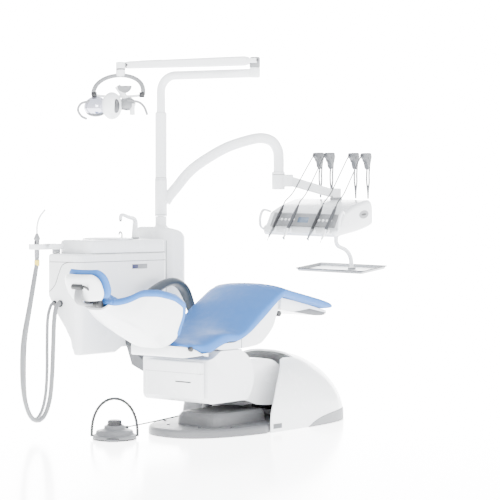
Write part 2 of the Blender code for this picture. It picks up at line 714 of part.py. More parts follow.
# ---------------------------------------------------------------- water unit
def make_unit():
    stations = [(0.418, (-0.860, -0.580), (0.428, 0.470), 0.020),
                (0.424, (-0.866, -0.570), (0.422, 0.476), 0.026),
                (0.446, (-0.869, -0.530), (0.420, 0.482), 0.028),
                (0.456, (-0.870, -0.180), (0.420, 0.490), 0.030),
                (0.500, (-0.870, -0.172), (0.420, 0.505), 0.036),
                (0.560, (-0.870, -0.170), (0.420, 0.548), 0.040),
                (0.640, (-0.870, -0.170), (0.420, 0.620), 0.044),
                (0.730, (-0.870, -0.170), (0.420, 0.680), 0.046),
                (0.940, (-0.870, -0.170), (0.420, 0.680), 0.046),
                (0.952, (-0.866, -0.170), (0.424, 0.676), 0.046),
                (0.957, (-0.856, -0.172), (0.434, 0.666), 0.040)]
    rings = [[Vector((x, y, z)) for x, y in rounded_rectangle(xs, ys, r)] for z, xs, ys, r in stations]
    unit = add_mesh("unit_body", loft(rings), WHITE, "carriage")
    boolean(unit, box((-0.83, -0.21), (0.455, 0.645), (0.70, 1.10)))

    low, high = UNIT_TOP_Z + GAP, RIM_TOP_Z
    stations = [(low, 0.0), (high - 0.014, 0.0), (high - 0.004, 0.004), (high, 0.014)]
    rings = []
    for z, inset in stations:
        outline = rounded_rectangle((-0.790 + inset, -0.170 - inset), (0.424 + inset, 0.672 - inset), 0.05)
        rings.append([Vector((x, y, z)) for x, y in outline])
    top = add_mesh("unit_top", loft(rings), WHITE, "carriage")
    profile = [(BOWL_RADIUS + 0.002, RIM_TOP_Z - 0.0655), (BOWL_RADIUS + 0.002, RIM_TOP_Z + 0.02)]
    boolean(top, dome(profile, 28, (BOWL_CENTRE.x, BOWL_CENTRE.y, 0)))

    stations = [(0.470, 0.020), (0.485, 0.006), (0.56, 0.0), (1.050, 0.0), (1.072, 0.008), (1.084, 0.024)]
    rings = []
    for z, inset in stations:
        outline = rounded_rectangle((-0.1695 + inset, 0.030 - inset), (0.440 + inset, 0.735 - inset), 0.07)
        slope = [Vector((x, y, z - (0.18 * (x + 0.07) if z > 1.0 else 0))) for x, y in outline]
        rings.append(slope)
    column = add_mesh("unit_column", loft(rings), WHITE, "carriage")
    make_pole_post(column)


def unit_bracket():
    """Beam from the carriage frame out to the side of the water unit."""
    rings = []
    for y, low, high in ((0.110, 0.320, 0.380), (0.290, 0.320, 0.380), (0.370, 0.350, 0.430),
                         (0.4190, 0.470, 0.560)):
        rings.append([Vector((x, y, z)) for x, z in ((-0.52, low), (-0.39, low), (-0.39, high), (-0.52, high))])
    return loft(rings)


def make_pole_post(column):
    profile = [(POLE_RADIUS + 0.012, 1.040), (POLE_RADIUS + 0.012, 1.094), (POLE_RADIUS, 1.104),
               (POLE_RADIUS, HUB_Z[0] - GAP), (POST_RADIUS, HUB_Z[0] - GAP), (POST_RADIUS, 1.60)]
    boolean(column, dome(profile, 28, (POLE.x, POLE.y, 0)), "UNION")


def make_bowl():
    r = BOWL_RADIUS
    z = BOWL_CENTRE.z
    outer = [(0.020, z - 0.064), (r * 0.55, z - 0.060), (r * 0.86, z - 0.040), (r, z - 0.008),
             (r, z + 0.001), (r + 0.014, z + 0.001), (r + 0.014, z + 0.007), (r, z + 0.009)]
    inner = [(r - 0.008, z + 0.002), (r * 0.80, z - 0.034), (r * 0.50, z - 0.052), (0.020, z - 0.056)]
    bowl = turned(outer + inner, 24, (BOWL_CENTRE.x, BOWL_CENTRE.y, 0))
    add_mesh("bowl", bowl, CERAMIC, "bowl")


def make_cup_filler():
    stem = FILLER_STEM
    path = [stem + Vector((0, 0, 0.001)), stem + Vector((0, 0, 0.03)), stem + Vector((0.004, 0.0, 0.090)),
            stem + Vector((-0.020, -0.012, 0.112)), stem + Vector((-0.080, -0.030, 0.122)),
            stem + Vector((-0.140, -0.045, 0.134)), stem + Vector((-0.162, -0.050, 0.128)),
            stem + Vector((-0.166, -0.052, 0.104))]
    points = smooth_curve(path, 3)

    def section(i, n):
        t = i / (n - 1)
        return ellipse(0.019 - 0.009 * min(1, t * 1.3), 0.017 - 0.008 * min(1, t * 1.3), 12)
    add_mesh("cup_filler", sweep(points, section, up=(1, 0, 0)), WHITE, "cup_filler")


# ---------------------------------------------------------------- assistant's holder
def suction_place(index):
    """Centre of one suction handpiece's ring."""
    return ASSIST_PIVOT + Vector(((-0.150, -0.010, 0.040), (-0.112, 0.030, 0.040))[index])


def make_assistant():
    pivot = ASSIST_PIVOT
    outline = [(0.030, -0.030), (0.030, 0.030), (-0.060, 0.040), (-0.100, 0.062), (-0.150, 0.050),
               (-0.182, 0.020), (-0.182, -0.030), (-0.150, -0.046), (-0.060, -0.034)]
    low, high = pivot.z + 0.022, pivot.z + 0.052
    points = [(pivot.x + u, pivot.y + v) for u, v in outline]
    arm = add_mesh("assistant_arm", extruded(points, (low, high), "xy", bevel=0.006), WHITE, "assistant_arm")
    boolean(arm, cylinder(pivot + Vector((0, 0, GAP)), pivot + Vector((0, 0, 0.03)), 0.022), "UNION")
    for index, radius in ((0, 0.0135), (1, 0.0105)):
        place = suction_place(index)
        boolean(arm, cylinder(place + Vector((0, 0, -0.1)), place + Vector((0, 0, 0.1)), radius + 0.0012))


def make_suction():
    for index, (name, radius) in enumerate((("suction_large", 0.0135), ("suction_small", 0.0105))):
        place = suction_place(index)
        profile = [(radius * 0.75, -0.060), (radius, -0.052), (radius, 0.034), (radius + 0.004, 0.036),
                   (radius + 0.004, 0.046), (radius * 0.8, 0.060), (radius * 0.5, 0.068)]
        lower = [(place + Vector((0, 0, z)), r) for r, z in profile]
        bend = smooth_curve([(0, 0, 0.068), (0.002, 0.0, 0.11), (0.014, -0.006, 0.155),
                             (0.042, -0.018, 0.195)], 3)
        rings = [[c + Vector((r * math.cos(t), r * math.sin(t), 0)) for t in turns(14)] for c, r in lower]
        for i, p in enumerate(bend[1:]):
            t = (i + 1) / (len(bend) - 1)
            tilt = Matrix.Rotation(0.75 * t, 4, Vector((0.3, 0.95, 0)).normalized())
            rings.append([place + p + tilt @ Vector((radius * 0.36 * math.cos(a), radius * 0.36 * math.sin(a), 0))
                          for a in turns(14)])
        add_mesh(name, loft(rings), GREY, name)


def suction_route(index):
    """Route of a suction hose from the unit's port, down in a loop and up to its handpiece."""
    end = suction_place(index) + Vector((0, 0, -0.0605))
    if index == 0:
        port = Vector((-0.8712, 0.560, 0.690))
        via = [(-0.908, 0.556, 0.668), (-0.925, 0.552, 0.60), (-0.935, 0.548, 0.47), (-0.945, 0.545, 0.33),
               (-0.960, 0.545, 0.20), (-0.990, 0.548, 0.115), (-1.035, 0.552, 0.080), (-1.085, 0.560, 0.105),
               (-1.120, 0.568, 0.200), (-1.130, 0.576, 0.33), (-1.115, 0.585, 0.50), (-1.065, 0.593, 0.68),
               (-1.015, 0.606, 0.84)]
    else:
        port = Vector((-0.8712, 0.605, 0.690))
        via = [(-0.906, 0.604, 0.668), (-0.922, 0.606, 0.60), (-0.920, 0.612, 0.47), (-0.915, 0.618, 0.33),
               (-0.920, 0.624, 0.20), (-0.945, 0.630, 0.110), (-0.985, 0.634, 0.075), (-1.025, 0.638, 0.105),
               (-1.050, 0.640, 0.200), (-1.055, 0.642, 0.33), (-1.045, 0.644, 0.50), (-1.005, 0.646, 0.68),
               (-0.967, 0.650, 0.84)]
    return [port, port + Vector((-0.016, 0, 0))] + [Vector(p) for p in via] + [end + Vector((0, 0, -0.03)), end]


def make_suction_hoses():
    radii = (LARGE_HOSE_RADIUS, SMALL_HOSE_RADIUS)
    for index, name in enumerate(("suction_hose_large", "suction_hose_small")):
        route = suction_route(index)
        points = smooth_curve(route, 6)[6:-6]
        points = [route[0]] + resample(points, radii[index] * 2 * 2.4) + [route[-1]]
        curve_cord(name, points, radii[index], "carriage", resolution=2)


# ---------------------------------------------------------------- operating light
def make_light():
    centre = (POLE.x, POLE.y, 0)
    low = HUB_Z[1] + 0.0015
    profile = [(POLE_RADIUS, low), (POLE_RADIUS, 1.748), (POLE_RADIUS - 0.006, 1.756),
               (LIGHT_TUBE_RADIUS, 1.757), (LIGHT_TUBE_RADIUS, 1.84)]
    pole = add_mesh("light_pole", dome(profile, 24, centre), WHITE, "light_pole")
    bore = cylinder((POLE.x, POLE.y, low - 0.02), (POLE.x, POLE.y, 1.61), POST_RADIUS + GAP, 28)
    boolean(pole, bore)
    elbow = LIGHT_ELBOW
    start = Vector((POLE.x, POLE.y, 1.82))
    top = elbow.z - 0.030
    reach = Vector((elbow.x - POLE.x, elbow.y - POLE.y, 0))
    run = reach.normalized()
    path = [start]
    bend = 0.09
    for k in range(7):
        t = math.pi / 2 * k / 6
        path.append(Vector((POLE.x, POLE.y, top - bend)) + run * bend * (1 - math.cos(t))
                    + Vector((0, 0, bend * math.sin(t))))
    path.append(Vector((POLE.x, POLE.y, top)) + run * (reach.length - 0.012))
    boolean(pole, tube(path, LIGHT_TUBE_RADIUS - 0.0004, 18, up=run), "UNION")

    low = elbow.z - 0.056
    joint = add_mesh("light_elbow", dome([(0.026, elbow.z + 0.0005), (0.030, elbow.z + 0.006),
                                          (0.030, elbow.z + 0.052), (0.024, elbow.z + 0.060)], 24,
                                         (elbow.x, elbow.y, 0)), GREY, "light_elbow")
    cap = dome([(0.024, low), (0.030, low + 0.006), (0.030, elbow.z - 0.004), (0.026, elbow.z)], 24,
               (elbow.x, elbow.y, 0))
    boolean(pole, cap, "UNION")
    return joint


def make_spring_arm():
    start = LIGHT_ELBOW + Vector((0, 0, 0.040))
    end = LAMP_JOINT + Vector((0, 0, 0.012))
    run = (end - start).normalized()
    path = [start + run * 0.041, start + run * 0.066, start.lerp(end, 0.5), end - run * 0.050, end - run * 0.030]
    size = (0.021, 0.027, 0.023, 0.020, 0.017)

    def section(i, n):
        return [(size[i] * a, size[i] * b) for a, b in rounded_rectangle((-0.8, 0.8), (-1, 1), 0.35, 2)]
    add_mesh("spring_arm", sweep(path, section), WHITE, "spring_arm")


def make_lamp():
    joint = LAMP_JOINT
    yoke_path = [joint + Vector((0, 0, 0.030)), joint + Vector((0, 0, -0.050))]
    yoke = add_mesh("lamp_yoke", tube(yoke_path, 0.026, 20, up=(1, 0, 0)), WHITE, "lamp_yoke")
    centre = LAMP_CENTRE
    right = Vector((0.643, -0.766, 0))
    arch = []
    for k in range(13):
        t = math.pi * (k / 12)
        arch.append(centre + right * 0.135 * math.cos(t) + Vector((0, 0, 0.015 + 0.110 * math.sin(t) ** 0.8)))
    shift = Vector((joint.x - centre.x, joint.y - centre.y, 0))
    arch = [p + shift * math.sin(math.pi * k / 12) for k, p in enumerate(arch)]
    boolean(yoke, sweep(arch, lambda i, n: ellipse(0.011, 0.011, 10), up=(0.766, 0.643, 0)), "UNION")

    facing = Matrix.Translation(centre) @ lamp_rotation()
    shell = [(0.030, 0.045), (0.075, 0.038), (0.105, 0.018), (0.112, -0.004), (0.108, -0.020),
             (0.100, -0.020), (0.098, -0.004), (0.070, 0.022), (0.030, 0.028)]
    add_mesh("lamp_body", turned(shell, 24), WHITE, "lamp", facing)
    glass = [(0.020, -0.012), (0.097, -0.012), (0.0975, -0.017), (0.020, -0.022)]
    add_mesh("lamp_glass", turned(glass, 24), GLASS, "lamp", facing)


def lamp_rotation():
    """The lamp's own axes: it faces down and towards the patient's mouth."""
    return Matrix.Rotation(math.radians(18), 4, Vector((0.643, -0.766, 0)))


# ---------------------------------------------------------------- instrument delivery
def elbow_centre():
    place = POLE + ELBOW_DIRECTION * ELBOW_REACH
    return Vector((place.x, place.y, 0))


def make_delivery_tube():
    hub = [(POST_RADIUS + GAP, HUB_Z[0]), (POLE_RADIUS + 0.003, HUB_Z[0]), (POLE_RADIUS + 0.003, HUB_Z[1]),
           (POST_RADIUS + GAP, HUB_Z[1])]
    obj = add_mesh("delivery_arm", turned(hub, 28, (POLE.x, POLE.y, 0)), WHITE, "delivery_arm")
    profile = [(0.028, 1.238), (0.05, 1.272), (0.10, 1.330), (0.16, 1.400), (0.237, 1.463), (0.387, 1.550),
               (0.52, 1.597), (0.62, 1.616), (0.690, 1.598), (0.726, 1.548), (0.733, 1.490),
               (0.733, ELBOW_Z[1] + 0.0006)]
    path = [POLE + ELBOW_DIRECTION * h + Vector((0, 0, z)) for h, z in profile]
    path = smooth_curve(path, 2)
    boolean(obj, tube(path, TUBE_RADIUS, 16, up=(0, 0, 1)), "UNION")
    boolean(obj, cylinder((POLE.x, POLE.y, 1.10), (POLE.x, POLE.y, 1.60), POST_RADIUS + GAP, 28))


SLOT = [(-0.0215, -0.0315), (0.0215, -0.0315), (0.0215, 0.06), (-0.0215, 0.06)]


def arm_ends():
    """Pivots of the delivery spring arm, in the world."""
    elbow = elbow_centre()
    hub = table_point(0.165, -0.03, 0.150)
    run = Vector((hub.x - elbow.x, hub.y - elbow.y, 0)).normalized()
    a = Vector((elbow.x, elbow.y, 1.366)) + run * 0.060
    b = Vector((hub.x, hub.y, 1.292)) - run * 0.030
    return a, b, run


def make_delivery_elbow():
    elbow = elbow_centre()
    a, b, run = arm_ends()
    block = dome([(0.036, ELBOW_Z[0]), (0.041, ELBOW_Z[0] + 0.006), (0.041, ELBOW_Z[1] - 0.006),
                  (0.036, ELBOW_Z[1])], 28, (elbow.x, elbow.y, 0))
    obj = add_mesh("delivery_elbow", block, WHITE, "delivery_elbow")
    start = Vector((elbow.x, elbow.y, a.z))
    square = [(-0.030, -0.036), (0.030, -0.036), (0.030, 0.036), (-0.030, 0.036)]
    boolean(obj, sweep([start, start + run * 0.086], lambda i, n: square), "UNION")
    notch = [start + run * 0.036, start + run * 0.12]
    boolean(obj, sweep(notch, lambda i, n: [(-0.0215, -0.06), (0.0215, -0.06), (0.0215, 0.06), (-0.0215, 0.06)]))


def make_delivery_spring_arm():
    a, b, run = arm_ends()
    along = (b - a).normalized()
    path = [a - along * 0.012, a + along * 0.014, a.lerp(b, 0.5), b - along * 0.014, b + along * 0.012]
    half = (0.024, 0.028, 0.027, 0.026, 0.020)

    def section(i, n):
        return [(0.0200 * p, half[i] * q) for p, q in rounded_rectangle((-1, 1), (-1, 1), 0.4, 3)]
    add_mesh("delivery_spring_arm", sweep(path, section), WHITE, "delivery_spring_arm")


TABLE_FRAME = (Matrix.Translation(TABLE_ORIGIN) @ Matrix.Rotation(TABLE_YAW, 4, "Z")
               @ Matrix.Rotation(-TABLE_PITCH, 4, "Y") @ Matrix.Rotation(TABLE_ROLL, 4, "X"))


def table_point(u, v, w):
    return TABLE_FRAME @ Vector((u, v, w))


def make_table():
    outline = [(-0.215, 0.000), (-0.222, 0.012), (-0.220, 0.034), (-0.190, 0.048), (-0.136, 0.122),
               (-0.115, 0.132), (-0.02, 0.158), (0.10, 0.178), (0.165, 0.184), (0.205, 0.178), (0.222, 0.150),
               (0.222, 0.060), (0.205, 0.034), (0.05, 0.012)]
    rings = []
    for v, inset in ((-0.250, 0.020), (-0.244, 0.008), (-0.230, 0.0), (0.230, 0.0), (0.244, 0.008),
                     (0.250, 0.020)):
        centre = Vector((0.0, 0.085))
        ring = []
        for u, w in outline:
            shrink_u = 1 - inset / 0.22
            shrink_w = 1 - inset / 0.09
            ring.append(Vector((centre.x + (u - centre.x) * shrink_u, v,
                                centre.y + (w - centre.y) * shrink_w)))
        rings.append(ring)
    table = add_mesh("table_body", loft(rings), WHITE, "table", TABLE_FRAME)
    mouth = [(-0.260, 0.080), (-0.193, 0.0515), (-0.1385, 0.1265), (-0.170, 0.170)]
    slim = [(u + 0.008, w - 0.006) for u, w in mouth]
    boolean(table, extruded(slim, (-0.215, 0.215)))
    boolean(table, table_hub_solid(), "UNION")
    boolean(table, table_hub_slot())
    panel = [(-0.1840, 0.0505), (-0.1355, 0.1165), (-0.1410, 0.1215), (-0.1900, 0.0545)]
    add_mesh("control_panel", extruded(panel, (-0.213, 0.213), bevel=0.001), GREY, "table", TABLE_FRAME)


def table_hub_solid():
    """Post on the table's top that holds the spring arm's end between two cheeks."""
    inverse = TABLE_FRAME.inverted()
    a, b, run = arm_ends()
    low = table_point(0.165, -0.03, 0.150)
    top = Vector((low.x, low.y, 1.320))
    post = cylinder(low, top, 0.030, 24, bevel=0.004)
    for vert in post.verts:
        vert.co = inverse @ vert.co
    return post


def table_hub_slot():
    """Slot in the hub post that takes the spring arm's end."""
    a, b, run = arm_ends()
    low = table_point(0.165, -0.03, 0.150)
    hub = Vector((low.x, low.y, b.z))
    slot = sweep([hub - run * 0.060, hub - run * 0.008], lambda i, n: SLOT)
    inverse = TABLE_FRAME.inverted()
    for vert in slot.verts:
        vert.co = inverse @ vert.co
    return slot


def make_holder():
    """Comb under the table's front edge: a cradle for each of the four handpieces."""
    outline = [(-0.225, -0.003), (0.225, -0.003), (0.225, 0.004)]
    for v in sorted(HANDPIECE_V, reverse=True):
        outline += [(v + 0.020, 0.004), (v + 0.020, 0.022), (v + 0.0135, 0.022)]
        outline += [(v + 0.0135 * math.cos(t), 0.022 - 0.0135 * math.sin(t))
                    for t in (math.pi * k / 6 for k in range(1, 6))]
        outline += [(v - 0.0135, 0.022), (v - 0.020, 0.022), (v - 0.020, 0.004)]
    outline += [(-0.225, 0.004)]
    tilt = Matrix.Translation((-0.235, 0, 0.0249)) @ Matrix.Rotation(math.radians(-45), 4, "Y")
    rings = [[Vector((u, v, w)) for v, w in outline] for u in (-0.010, 0.008)]
    add_mesh("instrument_holder", loft(rings), GREY, "table", TABLE_FRAME @ tilt)


def handpiece_ends(index):
    v = HANDPIECE_V[index]
    return Vector((-0.125, v, 0.166)), Vector((-0.325, v, -0.034))


def make_whips():
    for index, v in enumerate(WHIP_V):
        body_name = "whip_%d" % (index + 1)
        profile = [(0.1955, 0.1885), (0.2045, 0.1885), (0.2065, 0.340), (0.2280, 0.405), (0.2360, 0.440),
                   (0.2200, 0.457), (0.1500, 0.460), (0.1300, 0.452), (0.1340, 0.436), (0.1700, 0.410),
                   (0.1900, 0.345)]
        add_mesh(body_name, extruded(profile, (v - 0.009, v + 0.009), bevel=0.003), GREY, body_name, TABLE_FRAME)


def make_handpieces():
    for index in range(4):
        name = "handpiece_%d" % (index + 1)
        top, tip = handpiece_ends(index)
        axis = (tip - top).normalized()
        length = (tip - top).length
        widths = [(0.0, 0.006), (0.02, 0.0095), (0.10, 0.0105), (0.17, 0.0095), (0.215, 0.0075),
                  (0.245, 0.006), (length, 0.0035)]
        up = Vector((axis.z, 0, -axis.x))
        rings = []
        for along, radius in widths:
            centre = top + axis * along
            rings.append([centre + up * radius * math.cos(t) + Vector((0, 1, 0)) * radius * math.sin(t)
                          for t in turns(14)])
        add_mesh(name, loft(rings), STEEL, name, TABLE_FRAME)


def instrument_hose_route(index):
    """From the whip's head down to the back end of the handpiece, in table coordinates."""
    top, tip = handpiece_ends(index)
    axis = (top - tip).normalized()
    head = Vector((0.1285, WHIP_V[index], 0.446))
    return [head, head + Vector((-0.030, 0.0, -0.022)), head.lerp(top, 0.33) + Vector((-0.016, 0, -0.020)),
            head.lerp(top, 0.66) + Vector((-0.012, 0, -0.026)), top + axis * 0.034, top + axis * 0.0006]


def make_instrument_hoses():
    for index in range(4):
        route = [TABLE_FRAME @ p for p in instrument_hose_route(index)]
        points = resample(smooth_curve(route, 8), HOSE_RADIUS * 2 * 2.6)
        curve_cord("instrument_hose_%d" % (index + 1), points, HOSE_RADIUS, "handpiece_%d" % (index + 1))


def make_tray():
    """Swinging arm under the table and the steel tray on its end."""
    path = [(-0.020, -0.130, -0.012), (-0.020, -0.130, -0.050), (-0.010, -0.140, -0.075),
            (0.030, -0.165, -0.100), (0.055, -0.180, -0.140), (0.062, -0.185, -0.1990)]
    points = smooth_curve(path, 3)
    arm = add_mesh("tray_arm", sweep(points, lambda i, n: ellipse(0.013, 0.010, 12), up=(1, 0, 0)),
                   WHITE, "tray_arm", TABLE_FRAME)
    pad = dome([(0.020, -0.018), (0.020, 0.006)], 20, (-0.020, -0.130, 0.0))
    boolean(arm, pad, "UNION")

    base = -0.2015
    outline = rounded_rectangle((-0.100, 0.200), (-0.345, 0.100), 0.006, 3)
    rings = []
    for z, inset in ((base, 0.004), (base - 0.004, 0.0), (base - 0.018, 0.006), (base - 0.019, 0.012)):
        cx, cy = 0.05, -0.1225
        rings.append([Vector((cx + (x - cx) * (1 - inset / 0.15), cy + (y - cy) * (1 - inset / 0.22), z))
                      for x, y in outline])
    tray = add_mesh("tray", loft(rings), STEEL, "tray", TABLE_FRAME)
    boolean(tray, box((-0.088, 0.188), (-0.333, 0.088), (base - 0.0165, base + 0.01)))
    boolean(tray, box((0.040, 0.084), (-0.208, -0.162), (base - 0.0172, base - 0.0008)), "UNION")


# ---------------------------------------------------------------- foot control
def make_foot_control():
    centre = FOOT_CENTRE
    profile = [(0.108, 0.0), (0.114, 0.006), (0.114, 0.020), (0.104, 0.030), (0.080, 0.040), (0.050, 0.056),
               (0.036, 0.060)]
    base = add_mesh("foot_base", dome(profile, 28, centre), STEEL, "foot_control")
    forward = Vector((-0.766, -0.643, 0))
    right = Vector((0.643, -0.766, 0))
    nose = centre + forward * 0.135 + Vector((0, 0, 0.004))
    start = centre + forward * 0.116 + Vector((0, 0, 0.004))
    plate = [(-0.032, 0.0), (0.032, 0.0), (0.032, 0.012), (-0.032, 0.012)]
    add_mesh("foot_pedal", sweep([start, nose + forward * 0.012], lambda i, n: plate), STEEL, "foot_pedal")
    arch = []
    for k in range(17):
        t = math.pi * k / 16
        arch.append(centre + right * 0.119 * math.cos(t) + Vector((0, 0, 0.022 + 0.188 * math.sin(t) ** 0.85)))
    add_mesh("foot_bail", tube(arch, 0.0045, 10, up=forward), STEEL, "foot_bail")
    return base


def foot_cord_route():
    """From the gland on the foot control, just over the floor and the base plate, to the post on the plate."""
    start = FOOT_CENTRE + Vector((0.0925, 0.0, 0.052))
    end = CORD_POST + Vector((-0.0285, 0.0, 0.088))
    return [start, start + Vector((0.020, 0, 0.002)), start.lerp(end, 0.30) + Vector((0, 0.010, -0.004)),
            start.lerp(end, 0.70) + Vector((0, 0.010, -0.004)), end + Vector((-0.020, 0, 0.0)), end]


def make_foot_cord():
    points = resample(smooth_curve(foot_cord_route(), 10), FOOT_CORD_RADIUS * 2 * 2.4)
    curve_cord("foot_cord", points, FOOT_CORD_RADIUS, "root", DARK)


# ---------------------------------------------------------------- assembly
def make_bodies():
    body("root")
    body("foot_control", FOOT_CENTRE, "root")
    body("foot_pedal", FOOT_CENTRE, "foot_control")
    body("foot_bail", FOOT_CENTRE + Vector((0, 0, 0.022)), "foot_control")
    body("lift_arm", LIFT_PIVOT, "root")
    body("carriage", CARRIAGE_PIVOT, "lift_arm")
    body("legrest", KNEE_PIVOT, "carriage")
    body("backrest", BACK_HINGE, "carriage")
    head = BACK_FRAME @ Vector((HEAD_PIVOT_S, 0, HEAD_PIVOT_N))
    body("headrest_slide", head, "backrest")
    body("headrest", head, "headrest_slide")
    body("bowl", BOWL_CENTRE, "carriage")
    body("cup_filler", FILLER_STEM, "carriage")
    body("assistant_arm", ASSIST_PIVOT, "carriage")
    body("suction_large", suction_place(0), "assistant_arm")
    body("suction_small", suction_place(1), "assistant_arm")
    body("light_pole", POLE + Vector((0, 0, HUB_Z[1])), "carriage")
    body("light_elbow", LIGHT_ELBOW, "light_pole")
    body("spring_arm", LIGHT_ELBOW + Vector((0, 0, 0.040)), "light_elbow")
    body("lamp_yoke", LAMP_JOINT, "spring_arm")
    body("lamp", LAMP_CENTRE, "lamp_yoke")
    body("delivery_arm", POLE + Vector((0, 0, HUB_Z[0])), "carriage")
    body("delivery_elbow", elbow_centre() + Vector((0, 0, ELBOW_Z[1])), "delivery_arm")
    a, b, _ = arm_ends()
    body("delivery_spring_arm", a, "delivery_elbow")
    body("table", b, "delivery_spring_arm")
    for index, v in enumerate(WHIP_V):
        body("whip_%d" % (index + 1), table_point(WHIP_U, v, WHIP_FOOT_W), "table")
        top, tip = handpiece_ends(index)
        body("handpiece_%d" % (index + 1), TABLE_FRAME @ top, "whip_%d" % (index + 1))
    body("tray_arm", table_point(-0.020, -0.130, 0.0), "table")
    body("tray", table_point(0.062, -0.185, -0.20), "tray_arm")


def build():
    clear_scene()
    make_bodies()
    make_base_plate()
    make_cowl()
    make_base_inside()
    make_lift()
    make_carriage()
    make_seat()
    make_legrest()
    make_backrest()
    make_headrest()
    make_armrest()
    make_unit()
    make_bowl()
    make_cup_filler()
    make_assistant()
    make_suction()
    make_suction_hoses()
    make_light()
    make_spring_arm()
    make_lamp()
    make_delivery_tube()
    make_delivery_elbow()
    make_delivery_spring_arm()
    make_table()
    make_holder()
    make_whips()
    make_handpieces()
    make_instrument_hoses()
    make_tray()
    make_foot_control()
    make_foot_cord()


build()
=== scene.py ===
"""Looks of the dental treatment unit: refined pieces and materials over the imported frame."""
import math

import bmesh
import bpy
from mathutils import Matrix, Vector, noise


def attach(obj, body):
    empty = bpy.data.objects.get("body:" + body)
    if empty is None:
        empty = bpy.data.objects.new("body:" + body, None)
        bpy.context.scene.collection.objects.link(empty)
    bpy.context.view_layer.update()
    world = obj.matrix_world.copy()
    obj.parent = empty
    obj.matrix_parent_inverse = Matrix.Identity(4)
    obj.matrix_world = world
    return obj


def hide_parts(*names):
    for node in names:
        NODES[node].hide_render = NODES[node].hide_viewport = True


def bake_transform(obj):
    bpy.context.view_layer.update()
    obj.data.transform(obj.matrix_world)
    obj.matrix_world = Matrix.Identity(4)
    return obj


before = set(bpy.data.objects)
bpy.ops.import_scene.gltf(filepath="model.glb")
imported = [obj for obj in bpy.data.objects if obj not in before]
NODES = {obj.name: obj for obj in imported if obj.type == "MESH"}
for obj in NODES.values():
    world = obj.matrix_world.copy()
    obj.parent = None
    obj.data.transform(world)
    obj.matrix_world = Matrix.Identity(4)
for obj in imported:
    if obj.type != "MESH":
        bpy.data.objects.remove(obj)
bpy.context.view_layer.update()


VIEW_ANGLE = math.radians(50)  # heading of the camera, clockwise from the y axis
VIEW_RIGHT = Vector((0.643, -0.766, 0.0))
VIEW_AWAY = Vector((0.766, 0.643, 0.0))
VIEW_DISTANCE = 9.229
EYE_HEIGHT = 1.18
WORLD_STRENGTH = 2.6
BACKDROP_STRENGTH = 20.0
FLOOR_GLOW = 5.5
SIDES = {-1: "right", 1: "left"}
ENDS = {-1: "a", 1: "b"}


# ---------------------------------------------------------------- camera, lights and stage
def linked(name, data):
    """A new object in the scene."""
    obj = bpy.data.objects.new(name, data)
    bpy.context.scene.collection.objects.link(obj)
    return obj


def make_camera():
    """Long lens at the height of the table, 50 degrees round from the side."""
    view = Vector((math.sin(VIEW_ANGLE), math.cos(VIEW_ANGLE), 0.0))
    right = Vector((math.cos(VIEW_ANGLE), -math.sin(VIEW_ANGLE), 0.0))
    data = bpy.data.cameras.new("camera")
    data.lens = 120
    data.sensor_width = 36
    data.shift_y = -0.076
    camera = linked("camera", data)
    camera.location = -VIEW_DISTANCE * view + 0.0257 * right + Vector((0, 0, EYE_HEIGHT))
    camera.rotation_euler = (math.radians(90), 0, -VIEW_ANGLE)
    bpy.context.scene.camera = camera


def area_light(name, place, target, size, power):
    data = bpy.data.lights.new(name, "AREA")
    data.shape = "RECTANGLE"
    data.size, data.size_y = size
    data.energy = power
    lamp = linked(name, data)
    lamp.location = place
    lamp.rotation_euler = (Vector(target) - Vector(place)).to_track_quat("-Z", "Y").to_euler()


def make_world():
    world = bpy.data.worlds.new("studio")
    bpy.context.scene.world = world
    world.use_nodes = True
    tree = world.node_tree
    background = tree.nodes["Background"]
    coord = tree.nodes.new("ShaderNodeTexCoord")
    split = tree.nodes.new("ShaderNodeSeparateXYZ")
    ramp = tree.nodes.new("ShaderNodeValToRGB")
    ramp.color_ramp.elements[0].position = 0.42
    ramp.color_ramp.elements[0].color = (1.0, 1.0, 1.0, 1)
    ramp.color_ramp.elements[1].position = 0.95
    ramp.color_ramp.elements[1].color = (0.86, 0.90, 0.95, 1)
    remap = tree.nodes.new("ShaderNodeMapRange")
    remap.inputs["From Min"].default_value = -1.0
    tree.links.new(coord.outputs["Generated"], split.inputs[0])
    tree.links.new(split.outputs["Z"], remap.inputs["Value"])
    tree.links.new(remap.outputs[0], ramp.inputs[0])
    tree.links.new(ramp.outputs[0], background.inputs["Color"])
    background.inputs["Strength"].default_value = WORLD_STRENGTH


def stage_plane(name, size):
    mesh = bpy.data.meshes.new(name)
    bm = bmesh.new()
    bmesh.ops.create_grid(bm, x_segments=1, y_segments=1, size=size)
    bm.to_mesh(mesh)
    bm.free()
    obj = linked(name, mesh)
    return obj


